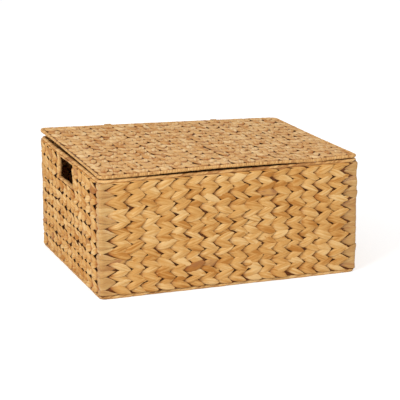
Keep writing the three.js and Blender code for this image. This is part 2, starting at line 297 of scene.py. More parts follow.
@dataclass
class MeshBuffer:
    """Gathers vertices, faces and the two strand attributes of one piece."""

    points: list[np.ndarray] = field(default_factory=list)
    strands: list[np.ndarray] = field(default_factory=list)
    looks: list[np.ndarray] = field(default_factory=list)
    corners: list[np.ndarray] = field(default_factory=list)
    counts: list[np.ndarray] = field(default_factory=list)
    total: int = 0

    def add(
        self,
        points: np.ndarray,
        corners: np.ndarray,
        counts: np.ndarray,
        strands: np.ndarray,
        looks: np.ndarray,
    ) -> None:
        """Adds a batch of vertices and faces.

        Args:
            points: vertex places, in rows of any shape.
            corners: vertex numbers of all the faces in order, counted within this batch.
            counts: number of corners of each face.
            strands: per vertex, distance along and across its strand and the strand's own number.
            looks: per vertex, tone, depth below the crown of its stitch or turn, which sets painted
                shade, and rust.
        """
        self.points.append(points.reshape(-1, 3))
        self.strands.append(strands.reshape(-1, 3))
        self.looks.append(looks.reshape(-1, 3))
        self.corners.append(corners.ravel() + self.total)
        self.counts.append(counts)
        self.total += len(self.points[-1])

    def take(self, bend: "Bend") -> None:
        """Bends all that was gathered."""
        self.points = [bend.bent(points) for points in self.points]

    def to_object(self, name: str) -> bpy.types.Object:
        """Makes one mesh object of all that was gathered.

        Args:
            name: the piece's name.

        Returns:
            The new object, smooth shaded, at the origin.
        """
        points = np.concatenate(self.points)
        corners = np.concatenate(self.corners)
        counts = np.concatenate(self.counts)
        mesh = bpy.data.meshes.new(name)
        mesh.vertices.add(len(points))
        mesh.vertices.foreach_set("co", points.astype(np.float32).ravel())
        mesh.loops.add(len(corners))
        mesh.loops.foreach_set("vertex_index", corners.astype(np.int32))
        mesh.polygons.add(len(counts))
        starts = np.concatenate([[0], np.cumsum(counts)[:-1]])
        mesh.polygons.foreach_set("loop_start", starts.astype(np.int32))
        mesh.polygons.foreach_set("use_smooth", np.ones(len(counts), dtype=bool))
        for label, parts in (("strand", self.strands), ("look", self.looks)):
            attribute = mesh.attributes.new(label, "FLOAT_VECTOR", "POINT")
            attribute.data.foreach_set("vector", np.concatenate(parts).astype(np.float32).ravel())
        mesh.update(calc_edges=True)
        mesh.validate()
        return linked(name, mesh)


MeshArrays = tuple[np.ndarray, np.ndarray, np.ndarray]


def taken_apart(piece: bpy.types.Object) -> MeshArrays:
    """Reads a modelled mesh and removes its object.

    Args:
        piece: the object.

    Returns:
        Vertices, the vertex numbers of all the faces in a row, and each face's corner count.
    """
    mesh = piece.data
    points = vertices_of(mesh)
    corners = np.empty(len(mesh.loops), dtype=np.int32)
    mesh.loops.foreach_get("vertex_index", corners)
    counts = np.empty(len(mesh.polygons), dtype=np.int32)
    mesh.polygons.foreach_get("loop_total", counts)
    bpy.data.objects.remove(piece)
    return points, corners, counts


@dataclass(frozen=True)
class StitchForm:
    """One stitch of a flattened stem: a pillow, pointed at both ends, modelled once and copied."""

    segments: int = 8
    rings: int = 8

    def model(self) -> MeshArrays:
        """Models the pillow from a ball with its poles at the stitch's ends.

        All but one of the vertices of each ring are moved to the seen half.

        Returns:
            Vertices (x along, y across, z up, all within one), face corners and corner counts.
        """
        bpy.ops.object.select_all(action="DESELECT")
        bpy.ops.mesh.primitive_uv_sphere_add(segments=self.segments, ring_count=self.rings, radius=1)
        ball = bpy.context.object
        ball.rotation_euler = (0, math.pi / 2, 0)
        bpy.ops.object.transform_apply(location=False, rotation=True, scale=False)
        points, corners, counts = taken_apart(ball)
        return self.face_up(points), corners, counts

    def face_up(self, points: np.ndarray) -> np.ndarray:
        """Crowds the vertices of each ring on its upper half.

        Args:
            points: vertices of the ball.

        Returns:
            The same vertices, turned about the long axis.
        """
        x, y, z = points.T
        step = 2 * math.pi / self.segments
        angle = np.mod(np.arctan2(z, y) - math.pi / 2 + step / 4, 2 * math.pi)
        number = np.floor(angle / step)
        half = self.segments // 2 - 1
        turned = np.where(number <= half, number, number - self.segments) * math.pi / (2 * half)
        turned = np.where(number == self.segments // 2, math.pi, turned)
        girth = np.hypot(y, z)
        return np.stack([x, -girth * np.sin(turned), girth * np.cos(turned)], -1)


@dataclass
class StitchEnds:
    """One end of every stitch of a batch: its reach from the wire, and how pointed it is.

    A tip lies on top and leans with the slope. A tail lies under its neighbour and leans the
    other way.
    """

    reach: np.ndarray
    tip: np.ndarray
    point: np.ndarray

    def chosen(self, choice: np.ndarray) -> "StitchEnds":
        """Picks the ends of some of the stitches."""
        return StitchEnds(self.reach[choice], self.tip[choice], self.point[choice])


@dataclass
class StitchBatch:
    """Stitches to lay on one face of a sheet, one entry per stitch in every array.

    A sunk stitch lies closer to its wire than the rest, and none passes its own top.
    """

    along: np.ndarray
    stack: np.ndarray
    slope: np.ndarray
    sunk: np.ndarray
    top: np.ndarray
    back: StitchEnds
    ahead: StitchEnds

    def __len__(self) -> int:
        """Counts the stitches."""
        return len(self.along)

    def chosen(self, choice: np.ndarray) -> "StitchBatch":
        """Picks some of the stitches."""
        rows = [values[choice] for values in (self.along, self.stack, self.slope, self.sunk, self.top)]
        return StitchBatch(*rows, self.back.chosen(choice), self.ahead.chosen(choice))


@dataclass
class Twining:
    """Lays stitches of one finish on a sheet, with the small unevenness of handwork.

    The spreads are those of the unevenness from stitch to stitch.
    """

    form: StitchForm
    half_width: float
    crown: float
    end_drop: float
    top_drop: float
    edge_drop: float
    thickness: float
    low: float
    high: float
    wander: float
    rust_share: float
    rng: np.random.Generator
    # How strongly a stitch's depth darkens it, as painted shade
    shade: float = 1.0
    crowding: float = 1.0
    drift: float = 1.2 * MM
    tip_lean: float = 17 * MM
    tail_lean: float = 17 * MM
    end_power: float = 2.2
    edge_power: float = 5
    ease: float = 3.0 * MM
    dive: float = 0.4
    wander_ease: float = 25 * MM
    ahead_spread: float = 0.08
    back_spread: float = 0.06
    slope_spread: float = 0.18
    width_spread: float = 0.10
    lift_spread: float = 0.4 * MM
    tilt_spread: float = 0.5 * MM
    stack_spread: float = 0.3 * MM
    strand_numbers: float = 40

    # Slow waves of the courses: share, radians a metre along and across the courses, and phase
    WAVES = ((1.0, 23, 31, 0.7), (1.0, 41, -47, 2.1), (0.6, 67, 83, 4.0))

    def __post_init__(self) -> None:
        """Models the stitch once and notes where its vertices lie along it, across it and below."""
        points, self.corners, self.counts = self.form.model()
        x, y, z = points.T
        ring = np.sqrt(np.clip(1 - x * x, 0, 1))
        safe = np.where(ring > 0, ring, 1)
        self.across = y / safe
        self.underside = np.clip(-z / safe, 0, None)
        self.length = np.sign(x) * np.abs(x) ** self.crowding
        self.girth = np.sqrt(np.clip(1 - self.length * self.length, 0, 1))

    def varied(self, batch: StitchBatch, mean: float, spread: float) -> np.ndarray:
        """Draws one uneven value for each stitch."""
        return self.rng.normal(mean, spread, (len(batch), 1))

    def lay(self, buffer: MeshBuffer, batch: StitchBatch, surface: Surface, side: Side) -> None:
        """Copies the stitch to every place of a batch.

        Args:
            buffer: the piece that the stitches go into.
            batch: places, reaches and slopes.
            surface: the sheet.
            side: the face of the sheet.
        """
        x, across, girth = self.length, self.across, self.girth
        forward = x > 0
        ahead = batch.ahead.reach[:, None] * self.varied(batch, 1, self.ahead_spread)
        back = batch.back.reach[:, None] * self.varied(batch, 1, self.back_spread)
        slope = batch.slope[:, None] * self.varied(batch, 1, self.slope_spread)
        tip = np.where(forward, batch.ahead.tip[:, None], batch.back.tip[:, None])
        taper = girth ** np.where(forward, batch.ahead.point[:, None], batch.back.point[:, None])
        width = self.half_width * self.varied(batch, 1, self.width_spread) * taper
        lift = self.crown - batch.sunk[:, None] + self.varied(batch, 0, self.lift_spread)
        tilt = self.varied(batch, 0, self.tilt_spread)
        reach = x * np.where(forward, ahead, back)
        drop = np.where(tip, self.top_drop * x**2, self.end_drop * np.abs(x) ** self.end_power)
        edge = self.edge_drop * girth * np.abs(across) ** self.edge_power
        out = lift - drop - edge - self.thickness * girth * self.underside + tilt * across
        leaning = np.minimum(np.abs(reach), np.where(tip, self.tip_lean, self.tail_lean))
        lean = slope * leaning * np.where(tip, 1, -1)
        stack = batch.stack[:, None] + lean + width * across
        stack = stack + self.varied(batch, 0, self.stack_spread)
        along = batch.along[:, None] + side.value * reach + self.varied(batch, 0, self.drift)
        stack = stack + self.uneven(along, stack)
        held = eased(stack, self.low, batch.top[:, None], self.ease)
        out = out - self.dive * np.abs(stack - held)
        # Painted shade: a vertex's depth below its crown, and being on the underside, set how dark the
        # material paints it
        depth = self.shade * (drop + edge) / self.crown + self.underside
        self.gather(buffer, surface.place(along, held, side.value * out), reach, width * across, depth)

    def gather(
        self,
        buffer: MeshBuffer,
        points: np.ndarray,
        along: np.ndarray,
        across: np.ndarray,
        depth: np.ndarray,
    ) -> None:
        """Adds laid stitches, each with a tone of its own and now and then rust.

        Args:
            buffer: the piece that the stitches go into.
            points: the vertices, one row for each stitch.
            along: each vertex's distance along its strand.
            across: its distance across the strand.
            depth: its depth below the crown, which sets its painted shade.
        """
        shape = (len(points), 1)
        number = self.rng.uniform(0, self.strand_numbers, shape)
        tone = self.rng.normal(0, 1, shape)
        rust = self.rng.uniform(0, 1, shape) < self.rust_share
        first = np.arange(len(points))[:, None] * len(self.length)
        buffer.add(
            points,
            self.corners + first,
            np.tile(self.counts, len(points)),
            triples(along, across, number),
            triples(tone, depth, rust),
        )

    def uneven(self, along: np.ndarray, stack: np.ndarray) -> np.ndarray:
        """Lets the courses rise and sink slowly, as hand-packed courses do.

        Args:
            along: places along the courses.
            stack: places across them.

        Returns:
            Shifts across the courses.
        """
        swell = np.zeros_like(stack)
        for share, by_along, by_stack, phase in self.WAVES:
            swell = swell + share * np.sin(by_along * along + by_stack * stack + phase)
        room = np.clip(np.minimum(stack - self.low, self.high - stack) / self.wander_ease, 0, 1)
        return self.wander * swell * room


@dataclass
class ShadeCore:
    """Thin slabs for the strands that cross inside a sheet, seen in its gaps, painted as dark shade."""

    half: float
    cuts: int = 11
    # Depth given to the slab, which the material turns into painted shade, near black
    depth: float = 2.0

    def __post_init__(self) -> None:
        """Models a slab once."""
        bpy.ops.object.select_all(action="DESELECT")
        bpy.ops.mesh.primitive_cube_add(size=2)
        slab = bpy.context.object
        bpy.ops.object.mode_set(mode="EDIT")
        bpy.ops.mesh.select_all(action="SELECT")
        bpy.ops.mesh.subdivide(number_cuts=self.cuts)
        bpy.ops.object.mode_set(mode="OBJECT")
        self.points, self.corners, self.counts = taken_apart(slab)

    def lay(
        self, buffer: MeshBuffer, surface: Surface, along: Sequence[float], stack: Sequence[float]
    ) -> None:
        """Copies the slab to one part of a sheet.

        Args:
            buffer: the piece that the slab goes into.
            surface: the sheet.
            along: the part's two ends along the courses.
            stack: its two ends across them.
        """
        x, y, z = self.points.T
        place = np.interp(x, (-1, 1), along)
        level = np.interp(y, (-1, 1), stack)
        buffer.add(
            surface.place(place, level, self.half * z),
            self.corners,
            self.counts,
            triples(place, level, 0.0),
            triples(0.0, self.depth, 0 * z),
        )


def eased(values: np.ndarray, low: float, high: np.ndarray, ease: float) -> np.ndarray:
    """Holds values between two limits, closing up more and more as they near one.

    Args:
        values: the values.
        low: the lower limit.
        high: the upper limits.
        ease: how far before a limit the closing up begins.

    Returns:
        The held values.
    """
    over = np.clip(values - (high - ease), 0, None)
    under = np.clip(low + ease - values, 0, None)
    return values - over + under + ease * (np.exp(-under / ease) - np.exp(-over / ease))


def spaced(pitch: float, middle: float, reach: float) -> list[float]:
    """Spaces wires by a pitch on both sides of a middle.

    Args:
        pitch: distance between wires.
        middle: a place that the pattern is centred on.
        reach: farthest a wire may lie from zero.

    Returns:
        The wires' places, in rising order.
    """
    first = math.ceil((-reach - middle) / pitch)
    last = math.floor((reach - middle) / pitch)
    return [middle + step * pitch for step in range(first, last + 1)]


# Finishes


class NodeSheet:
    """Adds and joins nodes in a material's or a group's tree."""

    # The Mix node's sockets for colours, among those for other kinds of value
    FIRST_COLOUR = 6
    SECOND_COLOUR = 7
    MIXED_COLOUR = 2

    def __init__(self, tree: bpy.types.NodeTree) -> None:
        """Keeps the tree to work in."""
        self.tree = tree

    def add(self, kind: str, **settings: object) -> bpy.types.Node:
        """Adds a node.

        Args:
            kind: the node's type name.
            settings: the node's own properties.

        Returns:
            The new node.
        """
        node = self.tree.nodes.new(kind)
        for name, value in settings.items():
            setattr(node, name, value)
        return node

    def join(self, source: bpy.types.NodeSocket, target: bpy.types.NodeSocket) -> None:
        """Links an output to an input."""
        self.tree.links.new(source, target)

    def math(self, operation: str, *values: object) -> bpy.types.NodeSocket:
        """Adds a Math node.

        Args:
            operation: the node's operation.
            values: numbers or sockets for its inputs.

        Returns:
            The node's output.
        """
        node = self.add("ShaderNodeMath", operation=operation)
        self.feed(node.inputs, values)
        return node.outputs[0]

    def stretch(self, vector: bpy.types.NodeSocket, scale: Sequence[float]) -> bpy.types.NodeSocket:
        """Multiplies a vector by a scale for each axis.

        Args:
            vector: the vector's socket.
            scale: three factors.

        Returns:
            The scaled vector's socket.
        """
        node = self.add("ShaderNodeVectorMath", operation="MULTIPLY")
        self.join(vector, node.inputs[0])
        node.inputs[1].default_value = scale
        return node.outputs[0]

    def noise(self, vector: bpy.types.NodeSocket, scale: float, detail: float) -> bpy.types.NodeSocket:
        """Adds a noise texture.

        Args:
            vector: where the noise is read.
            scale: the texture's scale.
            detail: the texture's detail.

        Returns:
            The noise value's socket.
        """
        node = self.add("ShaderNodeTexNoise")
        self.join(vector, node.inputs["Vector"])
        node.inputs["Scale"].default_value = scale
        node.inputs["Detail"].default_value = detail
        return node.outputs["Fac"]

    def remap(self, value: bpy.types.NodeSocket, ends: Sequence[float]) -> bpy.types.NodeSocket:
        """Maps a value smoothly from one range to another.

        Args:
            value: the value's socket.
            ends: from low, from high, to low and to high.

        Returns:
            The mapped value's socket.
        """
        node = self.add("ShaderNodeMapRange", interpolation_type="SMOOTHSTEP")
        self.feed(node.inputs, (value, *ends))
        return node.outputs[0]

    def mix(self, share: object, first: object, second: object) -> bpy.types.NodeSocket:
        """Mixes two colours.

        Args:
            share: how much of the second colour.
            first: a colour or its socket.
            second: a colour or its socket.

        Returns:
            The mixed colour's socket.
        """
        node = self.add("ShaderNodeMix", data_type="RGBA")
        colours = (node.inputs[self.FIRST_COLOUR], node.inputs[self.SECOND_COLOUR])
        self.feed((node.inputs["Factor"], *colours), (share, first, second))
        return node.outputs[self.MIXED_COLOUR]

    def feed(self, sockets: Sequence[bpy.types.NodeSocket], values: Sequence[object]) -> None:
        """Sets or links inputs in order.

        Args:
            sockets: the inputs.
            values: a number, a colour or a socket for each.
        """
        for socket, value in zip(sockets, values):
            if isinstance(value, bpy.types.NodeSocket):
                self.join(value, socket)
            else:
                socket.default_value = value


Colour = tuple[float, float, float, float]
WHITE: Colour = (1, 1, 1, 1)

# How fast the marks on a stem change along it, across it and from strand to strand
FIBRES = (35, 1500, 7)
BANDS = (22, 330, 5)
BLOTCHES = (70, 110, 3)
# How much the fibres count in the streaks, and how far each mark moves the shade
FIBRE_SHARE = 0.35
STREAK_FORCE = 1.9
BLOTCH_FORCE = 0.6
TONE_FORCE = 0.15
# Ranges that values are mapped over: from low, from high, to low and to high
SHADE_RANGE = (0.1, 0.8, 0, 1)
DEEP_RANGE = (0.5, 0.0, 0, 1)
PALE_RANGE = (0.5, 1.0, 0, 1)
STAIN_RANGE = (0.75, 1.2, 0.15, 0.8)
GAP_SHADE_RANGE = (0.9, 2.0, 0, 0.65)
ROUGH_RANGE = (0.3, 0.7, 0.72, 0.52)
# Painted shade, near black, for the deepest places: gaps between strands, undersides and the slabs
# inside
GAP_SHADE_COLOUR: Colour = (0.075, 0.014, 0.002, 1)

# Sockets of the dried stem's node group, by kind
STEM_PLACES = ("Strand", "Look")
STEM_COLOURS = ("Pale", "Middle", "Deep", "Rust", "Shade_colour")
STEM_VALUES = ("Contrast", "Shade_strength", "Smooth")
STEM_SOCKETS = (
    ("INPUT", "NodeSocketVector", STEM_PLACES),
    ("INPUT", "NodeSocketColor", STEM_COLOURS),
    ("INPUT", "NodeSocketFloat", STEM_VALUES),
    ("OUTPUT", "NodeSocketColor", ("Color",)),
    ("OUTPUT", "NodeSocketFloat", ("Roughness", "Height")),
)


def strand_group() -> bpy.types.NodeTree:
    """Builds the dried stem's look once: fibres along the strand, blotches, rust and painted shade in
    deep places.

    Returns:
        The node group.
    """
    group = bpy.data.node_groups.new("dried_stem", "ShaderNodeTree")
    for direction, kind, names in STEM_SOCKETS:
        for name in names:
            group.interface.new_socket(name, in_out=direction, socket_type=kind)
    sheet = NodeSheet(group)
    inputs = sheet.add("NodeGroupInput").outputs
    outputs = sheet.add("NodeGroupOutput").inputs
    look = sheet.add("ShaderNodeSeparateXYZ")
    sheet.join(inputs["Look"], look.inputs[0])
    tone, depth, rust = look.outputs

    fibre = sheet.noise(sheet.stretch(inputs["Strand"], FIBRES), scale=1, detail=2)
    band = sheet.noise(sheet.stretch(inputs["Strand"], BANDS), scale=1, detail=2)
    blotch = sheet.noise(sheet.stretch(inputs["Strand"], BLOTCHES), scale=1, detail=1)
    fine = sheet.math("MULTIPLY", fibre, FIBRE_SHARE)
    streak = sheet.math("ADD", fine, sheet.math("MULTIPLY", band, 1 - FIBRE_SHARE))

    level = sheet.math("MULTIPLY_ADD", sheet.math("SUBTRACT", streak, 0.5), STREAK_FORCE, 0.5)
    level = sheet.math("MULTIPLY_ADD", sheet.math("SUBTRACT", blotch, 0.5), BLOTCH_FORCE, level)
    level = sheet.math("MULTIPLY_ADD", tone, TONE_FORCE, level)
    level = sheet.math("MULTIPLY_ADD", sheet.math("SUBTRACT", level, 0.5), inputs["Contrast"], 0.5)
    # Painted shade: the deeper a place lies, the more the stem's colour is mixed towards a dark
    # red-brown, as shade would darken it
    shade_share = sheet.math("MULTIPLY", sheet.remap(depth, SHADE_RANGE), inputs["Shade_strength"])

    colour = sheet.mix(sheet.remap(level, DEEP_RANGE), inputs["Middle"], inputs["Deep"])
    colour = sheet.mix(sheet.remap(level, PALE_RANGE), colour, inputs["Pale"])
    stain = sheet.remap(sheet.math("ADD", band, blotch), STAIN_RANGE)
    colour = sheet.mix(sheet.math("MULTIPLY", rust, stain), colour, inputs["Rust"])
    colour = sheet.mix(shade_share, colour, inputs["Shade_colour"])
    # Painted shade: the deepest places go near black, as the shade in the gaps would make them
    colour = sheet.mix(sheet.remap(depth, GAP_SHADE_RANGE), colour, GAP_SHADE_COLOUR)
    sheet.join(colour, outputs["Color"])
    rough = sheet.remap(streak, ROUGH_RANGE)
    sheet.join(sheet.math("SUBTRACT", rough, inputs["Smooth"]), outputs["Roughness"])
    sheet.join(streak, outputs["Height"])
    return group


def new_material(name: str) -> tuple[bpy.types.Material, NodeSheet, bpy.types.Node]:
    """Starts a material with nodes.

    Args:
        name: the material's name.

    Returns:
        The material, its node sheet and its shader.
    """
    material = bpy.data.materials.new(name)
    material.use_nodes = True
    return material, NodeSheet(material.node_tree), material.node_tree.nodes["Principled BSDF"]


@dataclass(frozen=True)
class StrandFinish:
    """Dried flattened stem in one shade."""

    name: str
    slot: str
    pale: Colour
    middle: Colour
    deep: Colour
    rust: Colour = (0.30, 0.105, 0.03, 1)
    # Painted shade: the dark red-brown that deep places are mixed towards, and how strongly
    shade_colour: Colour = (0.27, 0.056, 0.005, 1)
    contrast: float = 1.25
    shade_strength: float = 0.75
    relief: float = 0.5
    relief_height: float = 0.6 * MM
    gloss: float = 0.15
    smooth: float = 0.0

    def material(self, group: bpy.types.NodeTree) -> bpy.types.Material:
        """Builds the material.

        Args:
            group: the dried stem's node group.

        Returns:
            The new material.
        """
        material, sheet, shader = new_material(self.name)
        stem = sheet.add("ShaderNodeGroup", node_tree=group)
        for label in STEM_PLACES:
            attribute = sheet.add("ShaderNodeAttribute", attribute_name=label.lower())
            sheet.join(attribute.outputs["Vector"], stem.inputs[label])
        for label in STEM_COLOURS + STEM_VALUES:
            stem.inputs[label].default_value = getattr(self, label.lower())
        bump = sheet.add("ShaderNodeBump")
        bump.inputs["Strength"].default_value = self.relief
        bump.inputs["Distance"].default_value = self.relief_height
        sheet.join(stem.outputs["Height"], bump.inputs["Height"])
        sheet.join(stem.outputs["Color"], shader.inputs["Base Color"])
        sheet.join(stem.outputs["Roughness"], shader.inputs["Roughness"])
        sheet.join(bump.outputs["Normal"], shader.inputs["Normal"])
        shader.inputs["Specular IOR Level"].default_value = self.gloss
        return material


@dataclass(frozen=True)
class WireFinish:
    """Dark lacquered wire with a little rubbed wear."""

    name: str = "lacquered_wire"
    lacquer: Colour = (0.030, 0.011, 0.005, 1)
    rubbed: Colour = (0.07, 0.035, 0.018, 1)
    gloss: float = 0.2
    wear_scale: float = 160
    wear_range: tuple[float, ...] = (0.5, 0.72, 0, 1)
    rough_range: tuple[float, ...] = (0.3, 0.7, 0.45, 0.7)

    def material(self) -> bpy.types.Material:
        """Builds the material.

        Returns:
            The new material.
        """
        material, sheet, shader = new_material(self.name)
        place = sheet.add("ShaderNodeTexCoord").outputs["Object"]
        wear = sheet.noise(place, scale=self.wear_scale, detail=4)
        share = sheet.remap(wear, self.wear_range)
        sheet.join(sheet.mix(share, self.lacquer, self.rubbed), shader.inputs["Base Color"])
        sheet.join(sheet.remap(wear, self.rough_range), shader.inputs["Roughness"])
        shader.inputs["Specular IOR Level"].default_value = self.gloss
        return material


FINISHES = (
    StrandFinish(
        "wall_stem",
        "strand",
        pale=(0.765, 0.49, 0.207, 1),
        middle=(0.635, 0.337, 0.099, 1),
        deep=(0.455, 0.183, 0.032, 1),
        gloss=0.2,
    ),
    StrandFinish(
        "lid_stem",
        "lid_strand",
        pale=(0.85, 0.575, 0.28, 1),
        middle=(0.70, 0.40, 0.15, 1),
        deep=(0.52, 0.225, 0.055, 1),
        contrast=1.15,
        shade_strength=0.7,
    ),
    StrandFinish(
        "corner_stem",
        "corner_strand",
        pale=(0.63, 0.385, 0.14, 1),
        middle=(0.52, 0.275, 0.08, 1),
        deep=(0.39, 0.165, 0.037, 1),
        relief=0.3,
        gloss=0.5,
        smooth=0.35,
    ),
    StrandFinish(
        "edge_stem",
        "binding",
        pale=(0.80, 0.51, 0.22, 1),
        middle=(0.66, 0.37, 0.13, 1),
        deep=(0.36, 0.155, 0.045, 1),
        shade_strength=0.4,
    ),
    StrandFinish(
        "tie_stem",
        "tie",
        pale=(0.72, 0.47, 0.20, 1),
        middle=(0.56, 0.31, 0.11, 1),
        deep=(0.30, 0.13, 0.04, 1),
        shade_strength=0.2,
    ),
)


class Palette:
    """Every finish of the box, made once."""

    def __init__(self) -> None:
        """Builds the materials, one for each of the record's slots."""
        group = strand_group()
        self.materials = {finish.slot: finish.material(group) for finish in FINISHES}
        self.materials["wire"] = WireFinish().material()


@dataclass
class Dresser:
    """Gives finished pieces their material, body and CAD nodes, and reports them."""

    palette: Palette

    def dress(self, piece: bpy.types.Object, slot: str, body: Body, nodes: Sequence[str]) -> None:
        """Dresses one piece.

        Args:
            piece: the finished object.
            slot: the record's material slot.
            body: the body that it moves with.
            nodes: the CAD nodes that it stands for.
        """
        piece.data.materials.clear()
        piece.data.materials.append(self.palette.materials[slot])
        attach(piece, body.value)
        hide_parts(*nodes)
        LOG.info("%s: %d faces, for %s", piece.name, len(piece.data.polygons), ", ".join(nodes))


# Sub-assemblies


class Bend(Protocol):
    """A bend that the drying weave took."""

    def bent(self, points: np.ndarray) -> np.ndarray:
        """Moves points with the bend."""


@dataclass(frozen=True)
class BoxSet:
    """How far the box is out of true.

    Its back rim runs from high at the left to low at the right, its left rim sags and the floor
    flattens its base.
    """

    half_x: float
    half_y: float
    rim_z: float
    back_left: float = 2.8 * MM
    back_right: float = -3.0 * MM
    left_sag: float = 1.5 * MM
    edge_steepness: float = 10.0

    def shares(self, points: np.ndarray) -> tuple[np.ndarray, np.ndarray]:
        """Tells how near points are to the two back corners.

        Args:
            points: places on the true box.

        Returns:
            For the left and the right corner, one at that corner and zero at the other three.
        """
        x = np.clip(points[:, 0] / self.half_x, -1, 1)
        y = np.clip(points[:, 1] / self.half_y, -1, 1)
        return (1 - x) / 2 * (1 + y) / 2, (1 + x) / 2 * (1 + y) / 2

    def lift(self, points: np.ndarray) -> np.ndarray:
        """Tells how far the back of the rim, and the lid on it, is lifted."""
        left, right = self.shares(points)
        return self.back_left * left + self.back_right * right

    def at_left(self, points: np.ndarray) -> np.ndarray:
        """Tells which points are at the left edge: one at it, zero past a narrow strip."""
        nearness = -points[:, 0] / self.half_x
        return np.clip(nearness * self.edge_steepness - (self.edge_steepness - 1), 0, 1)

    def bent(self, points: np.ndarray) -> np.ndarray:
        """Moves points with the box.

        Args:
            points: places on the true box.

        Returns:
            The places on the real box.
        """
        height = np.clip(points[:, 2] / self.rim_z, 0, 1) ** 2
        to_back = np.clip(points[:, 1] / self.half_y, 0, 1)
        belly = (4 * to_back * (1 - to_back)) ** 2
        sag = self.left_sag * self.at_left(points) * belly
        bent = points.copy()
        bent[:, 2] += (self.lift(points) - sag) * height
        bent[:, 2] = np.maximum(bent[:, 2], 0)
        return bent


@dataclass(frozen=True)
class LidCurl:
    """The lid's own set on top of the box's.

    Its back left corner stands up and out, its left edge is drawn in, its front and back edges bow
    up, the front one dips to the rim again towards the right, and its right edge settles on the rim.
    Places are shares of half the width, and a high power keeps a bend close to where it is strongest.
    """

    box_set: BoxSet
    corner_lift: float = 6.4 * MM
    corner_power: float = 1.8
    corner_out: float = 2.2 * MM
    out_power: int = 4
    corner_swell: float = 0.3
    swell_power: int = 8
    left_slim: float = 0.28
    left_draw: float = 1.6 * MM
    left_power: int = 4
    back_bow: float = 2.0 * MM
    front_bow: float = 1.9 * MM
    front_peak: float = -0.1
    front_power: int = 4
    front_dip: float = 1.5 * MM
    dip_place: float = 0.65
    dip_reach: float = 0.14
    right_settle: float = 1.0 * MM
    settle_power: int = 6

    def left_share(self, points: np.ndarray) -> np.ndarray:
        """Tells how near points are to the left edge, without its two ends."""
        y = np.clip(points[:, 1] / self.box_set.half_y, -1, 1)
        return self.box_set.at_left(points) * (1 - y**self.left_power)

    def swell(self, points: np.ndarray) -> np.ndarray:
        """Gives factors on the edge's thickness: thick at the raised corner, slim along the left."""
        slim = self.left_slim * self.left_share(points)
        return 1 - slim + self.corner_swell * self.box_set.shares(points)[0] ** self.swell_power

    def bent(self, points: np.ndarray) -> np.ndarray:
        """Lifts points with the lid.

        Args:
            points: places on the flat lid.

        Returns:
            The places on the bent lid.
        """
        x = np.clip(points[:, 0] / self.box_set.half_x, -1, 1)
        y = np.clip(points[:, 1] / self.box_set.half_y, -1, 1)
        corner = self.box_set.shares(points)[0]
        bow = self.front_bow * (1 - (x - self.front_peak) ** 2) ** self.front_power
        dip = self.front_dip * np.exp(-(((x - self.dip_place) / self.dip_reach) ** 2))
        draw = self.left_draw * self.left_share(points)
        bent = points.copy()
        bent[:, 2] += self.box_set.lift(points) + self.corner_lift * corner**self.corner_power
        bent[:, 2] += (bow - dip) * (1 - y) / 2 + self.back_bow * (1 - x * x) * (1 + y) / 2
        bent[:, 2] -= self.right_settle * ((1 + x) / 2) ** self.settle_power * (1 - y * y)
        bent[:, 0] += draw - self.corner_out * corner**self.out_power
        return bent


@dataclass(frozen=True)
class WallStitch:
    """How the stitches of one kind of wall, or of the corners, are laid.

    The width is half a stitch's as a share of the course height, the pull brings each two courses
    together, and crowded rings give a sharper turn round the wire.
    """

    width: float
    edge_drop: float
    tip_point: float
    tail_point: float
    shade: float
    lean: float = 0.27
    pull: float = 0.0
    rings: int = 8
    crowding: float = 1.0
    drift: float = 1.2 * MM
    proud: float = 1.2 * MM
    top_drop: float = 1.2 * MM
    end_drop: float = 4.6 * MM
    tip_reach: float = 0.62
    tail_lean: float = 17 * MM


LONG_WALL = WallStitch(
    width=0.73,
    edge_drop=1.2 * MM,
    tip_point=1.75,
    tail_point=0.95,
    shade=0.95,
    lean=0.37,
    pull=-0.3 * MM,
    tip_reach=0.585,
    tail_lean=12 * MM,
)
SHORT_WALL = WallStitch(
    width=0.65,
    edge_drop=0.7 * MM,
    tip_point=2.4,
    tail_point=1.9,
    shade=1.7,
    pull=1.2 * MM,
)
CORNER = WallStitch(
    width=0.68,
    edge_drop=0.7 * MM,
    tip_point=2.6,
    tail_point=2.0,
    shade=1.2,
    lean=0.19,
    rings=14,
    crowding=2.0,
    drift=0.0,
    proud=-1.8 * MM,
    top_drop=-1.6 * MM,
    end_drop=1.3 * MM,
)


